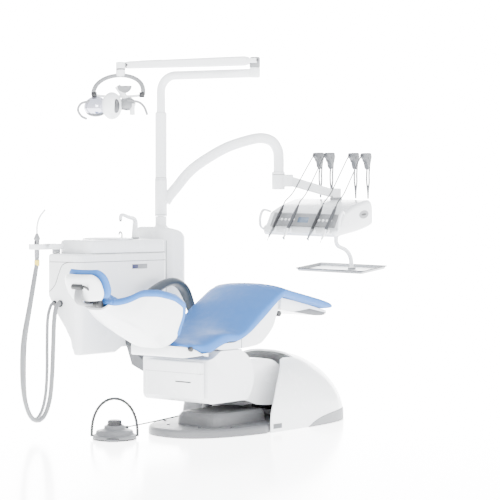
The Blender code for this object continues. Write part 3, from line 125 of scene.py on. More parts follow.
def make_stage():
    """Pale glowing floor, and a bright wall behind the object."""
    floor = stage_plane("floor", 30)
    floor.location = (0, 0, -0.0008)
    mat = bpy.data.materials.new("floor")
    mat.use_nodes = True
    tree = mat.node_tree
    shader = tree.nodes["Principled BSDF"]
    shader.inputs["Base Color"].default_value = (0.93, 0.935, 0.94, 1)
    shader.inputs["Roughness"].default_value = 0.16
    shader.inputs["Emission Color"].default_value = (1, 1, 1, 1)
    shader.inputs["Emission Strength"].default_value = FLOOR_GLOW
    floor.data.materials.append(mat)

    wall = stage_plane("backdrop", 1.0)
    wall.location = 14.0 * Vector((math.sin(VIEW_ANGLE), math.cos(VIEW_ANGLE), 0)) + Vector((0, 0, 3.5))
    wall.rotation_euler = (math.radians(90), 0, -VIEW_ANGLE)
    wall.scale = (12, 4.2, 1)
    mat = bpy.data.materials.new("backdrop")
    mat.use_nodes = True
    tree = mat.node_tree
    tree.nodes.remove(tree.nodes["Principled BSDF"])
    glow = tree.nodes.new("ShaderNodeEmission")
    glow.inputs["Strength"].default_value = BACKDROP_STRENGTH
    tree.links.new(glow.outputs[0], tree.nodes["Material Output"].inputs["Surface"])
    wall.data.materials.append(mat)


# ---------------------------------------------------------------- materials
MATERIALS = {}


def surface(name, colour, roughness, metallic=0.0, vary=0.03, rough_vary=0.06, scale=6.0, bump=0.0,
            bump_scale=400.0, stretch=(1, 1, 1), coat=0.0, coat_roughness=0.08, sheen=0.0, ior=1.5,
            grain="NOISE", transmission=0.0, anisotropic=0.0):
    """Principled material whose colour, roughness and relief come from procedural noise."""
    mat = bpy.data.materials.new(name)
    mat.use_nodes = True
    tree = mat.node_tree
    shader = tree.nodes["Principled BSDF"]
    new = tree.nodes.new
    link = tree.links.new
    coord = new("ShaderNodeTexCoord")
    mapping = new("ShaderNodeMapping")
    mapping.inputs["Scale"].default_value = stretch
    link(coord.outputs["Object"], mapping.inputs["Vector"])
    clouds = new("ShaderNodeTexNoise")
    clouds.inputs["Scale"].default_value = scale
    clouds.inputs["Detail"].default_value = 4
    link(mapping.outputs[0], clouds.inputs["Vector"])
    mix = new("ShaderNodeMix")
    mix.data_type = "RGBA"
    dark = [c * (1 - vary) for c in colour]
    light = [min(1.0, c * (1 + vary)) for c in colour]
    mix.inputs["A"].default_value = (*dark, 1)
    mix.inputs["B"].default_value = (*light, 1)
    link(clouds.outputs["Fac"], mix.inputs["Factor"])
    link(mix.outputs["Result"], shader.inputs["Base Color"])
    ramp = new("ShaderNodeMapRange")
    ramp.inputs["From Min"].default_value = 0.3
    ramp.inputs["From Max"].default_value = 0.7
    ramp.inputs["To Min"].default_value = max(0.02, roughness - rough_vary)
    ramp.inputs["To Max"].default_value = min(1.0, roughness + rough_vary)
    fine = new("ShaderNodeTexNoise")
    fine.inputs["Scale"].default_value = scale * 5
    fine.inputs["Detail"].default_value = 6
    link(mapping.outputs[0], fine.inputs["Vector"])
    link(fine.outputs["Fac"], ramp.inputs["Value"])
    link(ramp.outputs[0], shader.inputs["Roughness"])
    if bump:
        relief = new("ShaderNodeBump")
        relief.inputs["Strength"].default_value = bump
        relief.inputs["Distance"].default_value = 0.001
        if grain == "VORONOI":
            cells = new("ShaderNodeTexVoronoi")
            cells.feature = "DISTANCE_TO_EDGE"
            cells.inputs["Scale"].default_value = bump_scale
            link(mapping.outputs[0], cells.inputs["Vector"])
            link(cells.outputs["Distance"], relief.inputs["Height"])
        else:
            cells = new("ShaderNodeTexNoise")
            cells.inputs["Scale"].default_value = bump_scale
            cells.inputs["Detail"].default_value = 3
            link(mapping.outputs[0], cells.inputs["Vector"])
            link(cells.outputs["Fac"], relief.inputs["Height"])
        link(relief.outputs[0], shader.inputs["Normal"])
    shader.inputs["Metallic"].default_value = metallic
    shader.inputs["IOR"].default_value = ior
    shader.inputs["Coat Weight"].default_value = coat
    shader.inputs["Coat Roughness"].default_value = coat_roughness
    shader.inputs["Sheen Weight"].default_value = sheen
    shader.inputs["Anisotropic"].default_value = anisotropic
    shader.inputs["Transmission Weight"].default_value = transmission
    MATERIALS[name] = mat


def make_materials():
    surface("white_gloss", (0.80, 0.81, 0.82), 0.24, vary=0.012, scale=3, coat=0.35, bump=0.015, bump_scale=900)
    surface("white_satin", (0.80, 0.81, 0.82), 0.38, vary=0.015, scale=4, coat=0.1, bump=0.03, bump_scale=700)
    surface("white_tube", (0.82, 0.83, 0.84), 0.30, vary=0.012, scale=8, coat=0.3, bump=0.02, bump_scale=800)
    surface("blue_leather", (0.028, 0.130, 0.38), 0.60, vary=0.06, rough_vary=0.06, scale=5, bump=0.16,
            bump_scale=520, grain="VORONOI", sheen=0.02, coat=0.03, coat_roughness=0.3, ior=1.36)
    surface("grey_plate", (0.115, 0.117, 0.122), 0.46, vary=0.04, scale=12, bump=0.12, bump_scale=650)
    surface("grey_plastic", (0.085, 0.09, 0.098), 0.42, vary=0.04, scale=10, bump=0.08, bump_scale=800)
    surface("light_grey", (0.21, 0.214, 0.222), 0.40, vary=0.03, scale=10, bump=0.06, bump_scale=800)
    surface("arm_grey", (0.034, 0.045, 0.058), 0.40, vary=0.06, scale=9, bump=0.05, bump_scale=700, ior=1.4)
    surface("dark_plastic", (0.014, 0.0145, 0.016), 0.38, vary=0.15, scale=14, bump=0.06, bump_scale=700)
    surface("seam", (0.05, 0.052, 0.055), 0.6, vary=0.08, scale=20)
    surface("bumper", (0.20, 0.205, 0.212), 0.55, vary=0.04, scale=14, bump=0.10, bump_scale=600)
    surface("steel", (0.30, 0.305, 0.312), 0.26, metallic=1.0, vary=0.05, scale=6, bump=0.06, bump_scale=90,
            stretch=(1, 30, 1), anisotropic=0.4)
    surface("chrome", (0.30, 0.305, 0.312), 0.10, metallic=1.0, vary=0.03, scale=8, rough_vary=0.04)
    surface("dark_steel", (0.11, 0.112, 0.118), 0.34, metallic=0.9, vary=0.08, scale=10, bump=0.05)
    surface("hose", (0.17, 0.174, 0.18), 0.44, vary=0.05, scale=30, bump=0.10, bump_scale=500)
    surface("thin_hose", (0.05, 0.052, 0.056), 0.40, vary=0.05, scale=30, bump=0.06, bump_scale=900)
    surface("cord", (0.012, 0.012, 0.014), 0.45, vary=0.12, scale=30, bump=0.05)
    surface("yellow", (0.80, 0.62, 0.08), 0.4, vary=0.05, scale=20)
    surface("ceramic", (0.84, 0.85, 0.86), 0.10, vary=0.01, scale=4, coat=0.6, coat_roughness=0.04)
    surface("reflector", (0.62, 0.62, 0.72), 0.12, metallic=0.75, vary=0.10, scale=14, bump=0.5, bump_scale=60,
            grain="VORONOI", coat=0.6)
    surface("shield", (0.80, 0.84, 0.90), 0.08, vary=0.03, scale=8, transmission=0.85, ior=1.45)
    surface("navy", (0.012, 0.016, 0.075), 0.35, vary=0.10, scale=30)
    surface("display", (0.10, 0.14, 0.20), 0.14, vary=0.2, scale=25, coat=0.8, coat_roughness=0.03)


# ---------------------------------------------------------------- shape helpers
def turns(count, start=0.0):
    """Evenly spaced angles of one full turn."""
    return [start + 2 * math.pi * i / count for i in range(count)]


def loft(rings, cap=True, wrap=False):
    """Closed skin through rings of equal count, capped at its ends or wrapped round."""
    bm = bmesh.new()
    rows = [[bm.verts.new(p) for p in ring] for ring in rings]
    count = len(rows[0])
    pairs = list(zip(rows, rows[1:]))
    if wrap:
        pairs.append((rows[-1], rows[0]))
    for low, high in pairs:
        for i in range(count):
            j = (i + 1) % count
            bm.faces.new((low[i], low[j], high[j], high[i]))
    if cap and not wrap:
        bm.faces.new(list(reversed(rows[0])))
        bm.faces.new(rows[-1])
    return bm


def box(x, y, z, bevel=0.0, segments=3):
    """Box between two x, two y and two z values."""
    bm = bmesh.new()
    size = Vector((x[1] - x[0], y[1] - y[0], z[1] - z[0]))
    centre = Vector((x[0] + x[1], y[0] + y[1], z[0] + z[1])) / 2
    bmesh.ops.create_cube(bm, size=1.0, matrix=Matrix.Translation(centre) @ Matrix.Diagonal((*size, 1)))
    if bevel:
        bmesh.ops.bevel(bm, geom=bm.edges[:], offset=bevel, segments=segments, profile=0.5,
                        affect="EDGES", clamp_overlap=True)
    return bm


def rod(a, b, radius, sides=32, bevel=0.0, end_radius=None):
    """Round bar from a to b, with an optional rounded edge and a taper."""
    a, b = Vector(a), Vector(b)
    end_radius = radius if end_radius is None else end_radius
    axis = (b - a).normalized()
    length = (b - a).length
    stations = [(0.0, radius), (length, end_radius)]
    if bevel:
        stations = []
        for k in range(4):
            t = math.pi / 2 * k / 3
            stations.append((bevel * (1 - math.sin(t)), radius - bevel * (1 - math.cos(t))))
        stations = sorted(stations)
        stations += [(length - s, end_radius - (radius - r)) for s, r in reversed(stations)]
    side = axis.orthogonal().normalized()
    up = axis.cross(side)
    rings = [[a + axis * along + r * (math.cos(t) * side + math.sin(t) * up) for t in turns(sides)]
             for along, r in stations]
    return loft(rings)


def turned(profile, sides=64, centre=(0, 0, 0)):
    """Ring turned round the z axis from a closed profile of radius and height."""
    centre = Vector(centre)
    rings = [[centre + Vector((r * math.cos(t), r * math.sin(t), z)) for r, z in profile] for t in turns(sides)]
    return loft(rings, wrap=True)


def dome(profile, sides=64, centre=(0, 0, 0)):
    """Solid turned round the z axis from an open profile of radius and height."""
    centre = Vector(centre)
    return loft([[centre + Vector((r * math.cos(t), r * math.sin(t), z)) for t in turns(sides)]
                 for r, z in profile])


def extruded(outline, across, axes="xz", bevel=0.0, segments=4):
    """Prism of an outline in the xz plane along y, or in the xy plane along z."""
    low, high = across
    if axes == "xz":
        rings = [[Vector((u, y, w)) for u, w in outline] for y in (low, high)]
    else:
        rings = [[Vector((u, w, z)) for u, w in outline] for z in (low, high)]
    bm = loft(rings)
    if bevel:
        rim = [e for e in bm.edges if any(len(f.verts) == len(outline) for f in e.link_faces)]
        bmesh.ops.bevel(bm, geom=rim, offset=bevel, segments=segments, profile=0.5, affect="EDGES",
                        clamp_overlap=True)
    return bm


def arc(centre, radius, start, end, steps):
    out = []
    for k in range(steps + 1):
        t = math.radians(start + (end - start) * k / steps)
        out.append((centre[0] + radius * math.cos(t), centre[1] + radius * math.sin(t)))
    return out


def rounded_rectangle(x, y, radius, steps=8):
    points = []
    corners = ((x[1] - radius, y[1] - radius, 0), (x[0] + radius, y[1] - radius, 90),
               (x[0] + radius, y[0] + radius, 180), (x[1] - radius, y[0] + radius, 270))
    for cx, cy, start in corners:
        points += arc((cx, cy), radius, start, start + 90, steps)
    return points


def between(p0, p1, p2, p3, t):
    """Catmull-Rom point between p1 and p2."""
    return 0.5 * (2 * p1 + (p2 - p0) * t + (2 * p0 - 5 * p1 + 4 * p2 - p3) * t * t
                  + (3 * p1 - p0 - 3 * p2 + p3) * t ** 3)


def smooth_curve(points, per_span=6):
    """Catmull-Rom curve through the points."""
    pts = [Vector(p) for p in points]
    ends = [2 * pts[0] - pts[1]] + pts + [2 * pts[-1] - pts[-2]]
    out = []
    for i in range(1, len(ends) - 2):
        out += [between(*ends[i - 1:i + 3], k / per_span) for k in range(per_span)]
    out.append(pts[-1])
    return out


def resample(points, step):
    """The same line with evenly spaced points."""
    lengths = [0.0]
    for a, b in zip(points, points[1:]):
        lengths.append(lengths[-1] + (b - a).length)
    count = max(2, round(lengths[-1] / step))
    out = []
    k = 0
    for i in range(count + 1):
        target = lengths[-1] * i / count
        while k < len(points) - 2 and lengths[k + 1] < target:
            k += 1
        t = (target - lengths[k]) / (lengths[k + 1] - lengths[k])
        out.append(points[k].lerp(points[k + 1], min(max(t, 0.0), 1.0)))
    return out


def sweep(points, section, up=(0, 0, 1)):
    """Section carried along the points; up sets its starting direction."""
    rings = []
    normal = Vector(up)
    for i, point in enumerate(points):
        tangent = (points[min(i + 1, len(points) - 1)] - points[max(i - 1, 0)]).normalized()
        normal = (normal - tangent * normal.dot(tangent)).normalized()
        side = tangent.cross(normal)
        rings.append([point + side * a + normal * b for a, b in section(i, len(points))])
    return loft(rings)


def ellipse(width, height, sides=24):
    return [(width * math.cos(t), height * math.sin(t)) for t in turns(sides)]


def tube(points, radius, sides=24, up=(0, 0, 1)):
    return sweep(points, lambda i, n: ellipse(radius, radius, sides), up)


def linear(table, value):
    """Reading of a table of value pairs, straight between its rows."""
    if value <= table[0][0]:
        return table[0][1]
    for (a, va), (b, vb) in zip(table, table[1:]):
        if value <= b:
            return va + (vb - va) * (value - a) / (b - a)
    return table[-1][1]


def smoothly(table, value, spread=0.025):
    """Softened reading of a table: the mean of a few readings around the value."""
    return sum(linear(table, value + spread * k / 3) for k in range(-3, 4)) / 7


def piece(name, bm, mat, body, frame_matrix=None, replaces=(), smooth=40, bevel=0.0):
    """A visible piece in world coordinates that rides on a body."""
    bmesh.ops.recalc_face_normals(bm, faces=bm.faces)
    mesh = bpy.data.meshes.new(name)
    bm.to_mesh(mesh)
    bm.free()
    if frame_matrix is not None:
        mesh.transform(frame_matrix)
    mesh.materials.append(MATERIALS[mat])
    mesh.shade_smooth()
    mesh.set_sharp_from_angle(angle=math.radians(smooth))
    obj = linked(name, mesh)
    if bevel:
        modifier = obj.modifiers.new("bevel", "BEVEL")
        modifier.width = bevel
        modifier.segments = 3
        modifier.limit_method = "ANGLE"
        modifier.angle_limit = math.radians(40)
        modifier.harden_normals = True
    if body:
        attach(obj, body)
    if replaces:
        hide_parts(*replaces)
    return obj


def cut(obj, cutter, operation="DIFFERENCE"):
    """Apply one exact Boolean to a piece's own mesh and drop the cutter."""
    bmesh.ops.recalc_face_normals(cutter, faces=cutter.faces)
    mesh = bpy.data.meshes.new("cutter")
    cutter.to_mesh(mesh)
    cutter.free()
    tool = linked("cutter", mesh)
    copy = linked("work", obj.data)
    modifier = copy.modifiers.new("cut", "BOOLEAN")
    modifier.operation = operation
    modifier.solver = "EXACT"
    modifier.object = tool
    bpy.context.view_layer.update()
    depsgraph = bpy.context.evaluated_depsgraph_get()
    result = bpy.data.meshes.new_from_object(copy.evaluated_get(depsgraph), depsgraph=depsgraph)
    result.shade_smooth()
    result.set_sharp_from_angle(angle=math.radians(35))
    obj.data = result
    bpy.data.objects.remove(copy)
    bpy.data.objects.remove(tool)


def finish_node(name, mat):
    """Give a CAD node that stays visible its proper material."""
    obj = NODES[name]
    obj.data.materials.clear()
    obj.data.materials.append(MATERIALS[mat])
    for polygon in obj.data.polygons:
        polygon.material_index = 0


def poly_curve(name, points, radius, mat, body, replaces):
    """A round cord as a curve through the points."""
    curve = bpy.data.curves.new(name, "CURVE")
    curve.dimensions = "3D"
    curve.bevel_depth = radius
    curve.bevel_resolution = 4
    curve.use_fill_caps = True
    spline = curve.splines.new("POLY")
    spline.points.add(len(points) - 1)
    for point, place in zip(spline.points, points):
        point.co = (*place, 1.0)
    curve.materials.append(MATERIALS[mat])
    obj = linked(name, curve)
    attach(obj, body)
    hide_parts(*replaces)
    return obj


# ---------------------------------------------------------------- places shared with the frame
def turned_frame(place, slope):
    """Axes of a reclined part: s up along it, y to the patient's right, n out of its face."""
    return Matrix.Translation(place) @ Matrix(
        ((-math.cos(slope), 0, math.sin(slope), 0), (0, -1, 0, 0),
         (math.sin(slope), 0, math.cos(slope), 0), (0, 0, 0, 1)))


BACK_FRAME = turned_frame((-0.72, 0.0, 0.50), math.radians(24.3))
HEAD_FRAME = turned_frame((-1.235, 0.0, 0.812), math.radians(65))
TABLE_FRAME = (Matrix.Translation((0.68, 0.015, 1.06)) @ Matrix.Rotation(math.radians(8), 4, "Z")
               @ Matrix.Rotation(math.radians(-4.5), 4, "Y") @ Matrix.Rotation(math.radians(1.5), 4, "X"))
POLE = Vector((-0.02, 0.62, 0.0))
KNEE_X = 0.03
LIGHT_ELBOW = Vector((0.174, 0.077, 1.995))
LAMP_JOINT = Vector((-0.545, 0.430, 1.968))
LAMP_CENTRE = Vector((-0.600, 0.395, 1.80))
ELBOW = POLE + Vector((0.876, -0.482, 0.0)).normalized() * 0.733
FOOT_CENTRE = Vector((-0.868, 0.157, 0.0))
ASSIST_PIVOT = Vector((-0.845, 0.62, 0.9575))
WHIP_V = (0.094, 0.019, -0.144, -0.226)
HANDPIECE_V = (0.16, 0.06, -0.10, -0.19)


# ---------------------------------------------------------------- cords and hoses
def foot_cord():
    """From the foot control's gland, just over the floor and the base plate, to the plate's post."""
    radius = 0.0035
    start = FOOT_CENTRE + Vector((0.0925, 0.0, 0.052))
    end = Vector((-0.14, 0.16, 0.0)) + Vector((-0.0285, 0.0, 0.088))
    route = [start, start + Vector((0.020, 0, 0.002)), start.lerp(end, 0.30) + Vector((0, 0.010, -0.004)),
             start.lerp(end, 0.70) + Vector((0, 0.010, -0.004)), end + Vector((-0.020, 0, 0.0)), end]
    points = resample(smooth_curve(route, 10), radius * 2 * 2.4)
    cord = poly_curve("cord_foot_control", points, radius, "cord", "base", replaces=("foot_cord",))


def suction_place(index):
    return ASSIST_PIVOT + Vector(((-0.150, -0.010, 0.040), (-0.112, 0.030, 0.040))[index])


def suction_hoses():
    """From the ports on the unit's head end, down in a loop and up into the suction handpieces."""
    for index, (name, radius) in enumerate((("suction_hose_large", 0.0125), ("suction_hose_small", 0.009))):
        end = suction_place(index) + Vector((0, 0, -0.0605))
        if index == 0:
            port = Vector((-0.8712, 0.560, 0.690))
            via = [(-0.908, 0.556, 0.668), (-0.925, 0.552, 0.60), (-0.935, 0.548, 0.47), (-0.945, 0.545, 0.33),
                   (-0.960, 0.545, 0.20), (-0.990, 0.548, 0.115), (-1.035, 0.552, 0.080),
                   (-1.085, 0.560, 0.105), (-1.120, 0.568, 0.200), (-1.130, 0.576, 0.33),
                   (-1.115, 0.585, 0.50), (-1.065, 0.593, 0.68), (-1.015, 0.606, 0.84)]
        else:
            port = Vector((-0.8712, 0.605, 0.690))
            via = [(-0.906, 0.604, 0.668), (-0.922, 0.606, 0.60), (-0.920, 0.612, 0.47), (-0.915, 0.618, 0.33),
                   (-0.920, 0.624, 0.20), (-0.945, 0.630, 0.110), (-0.985, 0.634, 0.075),
                   (-1.025, 0.638, 0.105), (-1.050, 0.640, 0.200), (-1.055, 0.642, 0.33),
                   (-1.045, 0.644, 0.50), (-1.005, 0.646, 0.68), (-0.967, 0.650, 0.84)]
        route = [port, port + Vector((-0.016, 0, 0))] + [Vector(p) for p in via]
        route += [end + Vector((0, 0, -0.03)), end]
        middle = smooth_curve(route, 10)[10:-10]
        points = [route[0]] + resample(middle, radius * 2 * 0.9) + [route[-1]]
        points.append(end + Vector((0, 0, 0.055)))
        hose = ribbed_hose("hose_" + name, points, radius)
        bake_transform(hose)
        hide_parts(name)


def ribbed_hose(name, points, radius):
    """Hose with fine moulded ribs, as a mesh around its route."""
    line = resample([Vector(p) for p in points], radius * 0.55)
    count = len(line)

    def section(i, n):
        r = radius * (1.0 if i % 2 or i < 3 or i > count - 4 else 0.93)
        return ellipse(r, r, 20)
    bm = sweep(line, section, up=(0, 1, 0))
    bmesh.ops.recalc_face_normals(bm, faces=bm.faces)
    mesh = bpy.data.meshes.new(name)
    bm.to_mesh(mesh)
    bm.free()
    mesh.materials.append(MATERIALS["hose"])
    mesh.shade_smooth()
    obj = linked(name, mesh)
    return obj


def handpiece_ends(index):
    v = HANDPIECE_V[index]
    return Vector((-0.125, v, 0.166)), Vector((-0.325, v, -0.034))


def instrument_hoses():
    """From each whip's head down to the back end of its handpiece."""
    radius = 0.0035
    for index in range(4):
        top, tip = handpiece_ends(index)
        axis = (top - tip).normalized()
        head = Vector((0.1285, WHIP_V[index], 0.446))
        route = [head, head + Vector((-0.030, 0.0, -0.022)), head.lerp(top, 0.33) + Vector((-0.016, 0, -0.020)),
                 head.lerp(top, 0.66) + Vector((-0.012, 0, -0.026)), top + axis * 0.034, top + axis * 0.0006]
        points = resample(smooth_curve([TABLE_FRAME @ p for p in route], 8), radius * 2 * 1.2)
        bm = tube(points, radius, 16)
        hose = piece("hose_instrument_%d" % (index + 1), bm, "thin_hose", None, smooth=60)
        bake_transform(hose)
        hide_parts("instrument_hose_%d" % (index + 1))


# ---------------------------------------------------------------- cushions
SEAT_CENTRE = [(-0.76, 0.528), (-0.70, 0.520), (-0.60, 0.520), (-0.50, 0.538), (-0.40, 0.566), (-0.31, 0.602),
               (-0.25, 0.636), (-0.17, 0.690), (-0.01, 0.778), (0.03, 0.786)]
SEAT_EDGE = [(-0.76, 0.505), (-0.70, 0.499), (-0.607, 0.505), (-0.555, 0.527), (-0.51, 0.549), (-0.46, 0.558),
             (-0.40, 0.549), (-0.356, 0.545), (-0.3127, 0.556), (-0.25, 0.600), (-0.166, 0.665), (-0.01, 0.755),
             (0.03, 0.765)]
SEAT_UNDER = [(-0.76, 0.488), (-0.70, 0.482), (-0.655, 0.466), (-0.62, 0.440), (-0.58, 0.438), (-0.55, 0.446),
              (-0.49, 0.474), (-0.425, 0.494),
              (-0.35, 0.492), (-0.2695, 0.522), (-0.14, 0.601), (-0.02, 0.690), (0.03, 0.714)]
SEAT_PLAN = [(-0.76, 0.150), (-0.72, 0.178), (-0.66, 0.222), (-0.58, 0.250), (-0.50, 0.26)]
FOOT_END_X = 0.478


def leg_top(x):
    return 0.770 + (0.672 - 0.770) * (x - KNEE_X) / (FOOT_END_X - KNEE_X)


def pad_section(x, centre, edge, under, half_width, count=72):
    """Cross-section of a padded cushion: soft round sides, a crowned top and a nearly flat underside."""
    ring = []
    thick = edge - under
    for k in range(count):
        t = 2 * math.pi * k / count
        c, s = math.cos(t), math.sin(t)
        power = 0.42 if s > 0 else 0.34
        y = half_width * math.copysign(abs(c) ** 0.50, c)
        rise = math.copysign(abs(s) ** power, s)
        mid = (edge + under) / 2
        z = mid + rise * thick / 2
        if s > 0:
            u = y / half_width
            z += (centre - edge) * max(0.0, 1 - u * u) * rise
        ring.append(Vector((x, y, z)))
    return ring


def seat_height_tables(x):
    """Centre line, side edge and underside heights of the seat and legrest cushion at one station."""
    if x <= KNEE_X:
        return (smoothly(SEAT_CENTRE, x), smoothly(SEAT_EDGE, x, 0.018), smoothly(SEAT_UNDER, x, 0.02))
    end = max(0.0, (x - (FOOT_END_X - 0.09)) / 0.09)
    edge = leg_top(x) - 0.010 * end ** 2
    near_knee = 0.016 * (1 - (x - KNEE_X) / (FOOT_END_X - KNEE_X))
    return edge + near_knee, edge, leg_top(x) - 0.052 + 0.010 * end ** 2


def seat_cushion():
    """Seat and legrest upholstery as one padded skin, highest at the knee."""
    rings = []
    start, end = -0.733, FOOT_END_X
    stations = []
    x = start
    while x < end:
        stations.append(x)
        x += 0.006 if (x < start + 0.03 or x > end - 0.04) else 0.0105
    stations.append(end)
    for x in stations:
        centre, edge, under = seat_height_tables(x)
        blend_knee = math.exp(-((x - KNEE_X) / 0.05) ** 2)
        centre += 0.002 * blend_knee
        half = linear(SEAT_PLAN, x) if x < 0 else 0.26 - 0.012 * max(0.0, (x - (FOOT_END_X - 0.09)) / 0.09) ** 2
        close = min(1.0, (x - start) / 0.030, (end - x) / 0.040)
        round_end = math.sqrt(max(0.02, 1 - (1 - close) ** 2))
        mid = (edge + under) / 2
        edge_r = mid + (edge - mid) * round_end
        under_r = mid + (under - mid) * round_end
        centre_r = edge_r + (centre - edge) * round_end
        rings.append(pad_section(x, centre_r, edge_r, under_r, half - 0.010 * (1 - round_end)))
    bm = loft(rings)
    obj = piece("cushion_seat_legrest", bm, "blue_leather", None, smooth=60)
    dent_and_crease(obj)
    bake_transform(obj)
    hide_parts("seat_cushion", "legrest_cushion")


def seat_rear_cover():
    """White cover under the thin rear end of the seat, down to the body cover."""
    rings = []
    for k in range(17):
        x = -0.742 + 0.150 * k / 16
        half = linear(SEAT_PLAN, x) + 0.004
        close = math.sqrt(max(0.04, 1 - max(0.0, 1 - k / 4) ** 2))
        top = smoothly(SEAT_UNDER, x, 0.02) + 0.004
        low = 0.424 + 0.030 * (1 - close) + 0.018 * k / 16
        rings.append([Vector((x, y, z)) for y, z in
                      rounded_rectangle((-half * (0.93 + 0.07 * close), half * (0.93 + 0.07 * close)), (low, top),
                                        0.010, 6)])
    piece("seat_rear_cover", loft(rings), "white_gloss", "carriage", smooth=50)


def dent_and_crease(obj, amount=0.0011, scale=7.0, seed=0.0):
    """Small swells in stretched upholstery, so the padding is not a perfect surface."""
    for vert in obj.data.vertices:
        swell = noise.noise(vert.co * scale + Vector((seed, 0, 0)))
        fine = noise.noise(vert.co * scale * 4 + Vector((0, seed, 3)))
        vert.co += vert.normal * (amount * swell + 0.35 * amount * fine)


BACK_WIDTH = [(0.02, 0.150), (0.05, 0.180), (0.10, 0.228), (0.16, 0.256), (0.27, 0.256), (0.36, 0.222),
              (0.41, 0.160), (0.45, 0.105), (0.49, 0.090)]
BACK_RIM = [(0.02, 0.000), (0.055, 0.028), (0.09, 0.105), (0.13, 0.148), (0.22, 0.153), (0.32, 0.135),
            (0.385, 0.108), (0.42, 0.055), (0.455, 0.026), (0.49, 0.018)]
BACK_KEEL = [(0.02, -0.046), (0.18, -0.035), (0.33, -0.024), (0.49, -0.012)]
BACK_FACE = [(0.02, 0.012), (0.10, 0.030), (0.20, 0.044), (0.40, 0.050), (0.49, 0.052)]


def back_floor(s, offset, t):
    keel = smoothly(BACK_KEEL, s) + offset
    return keel + (smoothly(BACK_RIM, s, 0.012) - keel) * abs(t) ** 4


def backrest():
    """White tub behind the patient and the padded face that fills it and rolls over its rim."""
    wall = 0.010
    shell_rings, cushion_rings = [], []
    spread = [math.sin(math.pi / 2 * (i / 18 - 1)) for i in range(37)]
    count = 60
    for k in range(count + 1):
        s = 0.042 + 0.448 * k / count
        width = smoothly(BACK_WIDTH, s, 0.02)
        rim = smoothly(BACK_RIM, s, 0.012)
        outer = [Vector((s, width * t, back_floor(s, 0.0, t))) for t in spread]
        inner = [Vector((s, (width - wall) * t, back_floor(s, wall, t))) for t in reversed(spread)]
        shell_rings.append(outer + inner)
        near_end = min(1.0, k / 5, (count - k) / 5)
        round_end = math.sqrt(max(0.03, 1 - (1 - near_end) ** 2))
        face = smoothly(BACK_FACE, s)
        crest = rim + 0.038 * (0.55 + 0.45 * round_end)
        under = [Vector((s, (width - wall - 0.006) * t, back_floor(s, wall + 0.026, t) + 0.002)) for t in spread]
        over = []
        for t in reversed(spread[2:-2]):
            over.append(Vector((s, (width - 0.012) * t, face + (crest - face) * abs(t) ** 3)))
        lip = []
        for a in range(0, 9):
            angle = math.radians(-80 + 170 * a / 8)
            lip.append(Vector((s, width - 0.0115 + 0.0165 * math.cos(angle),
                               rim + 0.0165 + (crest - rim - 0.0165) * math.sin(angle))))
        lip_left = [Vector((p.x, -p.y, p.z)) for p in reversed(lip)]
        cushion_rings.append(under + lip + over + lip_left)
    piece("backrest_tub", loft(shell_rings), "white_gloss", "backrest", BACK_FRAME, ("backrest_shell",),
          smooth=50)
    pad = piece("cushion_backrest", loft(cushion_rings), "blue_leather", "backrest", BACK_FRAME,
                ("backrest_cushion",), smooth=60)
    dent_and_crease(pad, 0.0008, seed=2.0)
    side = [(0.470 - 0.420 * k / 40) for k in range(41)]
    roll = [Vector((s, smoothly(BACK_WIDTH, s, 0.02) - 0.007, smoothly(BACK_RIM, s, 0.012) + 0.016)) for s in side]
    end = Vector((0.040, 0.0, roll[-1].z - 0.004))
    roll += [Vector((0.043, roll[-1].y * 0.8, end.z)), Vector((0.041, roll[-1].y * 0.4, end.z)), end]
    roll += [Vector((p.x, -p.y, p.z)) for p in reversed(roll[:-1])]
    piece("backrest_rim_roll", tube(smooth_curve(roll, 2), 0.0165, 28, up=(0, 0, 1)), "blue_leather", "backrest",
          BACK_FRAME)


def head_pad(low, high, half_width, length, wing, power=0.7, rows=28, sides=56):
    rings = []
    for k in range(rows + 1):
        t = -math.cos(math.pi * k / rows)
        s = length * t
        width = half_width * (1 - 0.30 * max(0, t) ** 3 - 0.22 * max(0, -t) ** 3)
        ends = max(0.10, (1 - abs(t) ** 6) ** 0.5)
        mid = (low + high) / 2
        half = (high - low) / 2 * ends
        ring = []
        for a in turns(sides):
            c, sn = math.cos(a), math.sin(a)
            y = width * math.copysign(abs(c) ** power, c)
            n = mid + half * math.copysign(abs(sn) ** power, sn) + wing * (y / half_width) ** 2
            ring.append(Vector((s, y, n)))
        rings.append(ring)
    return loft(rings)


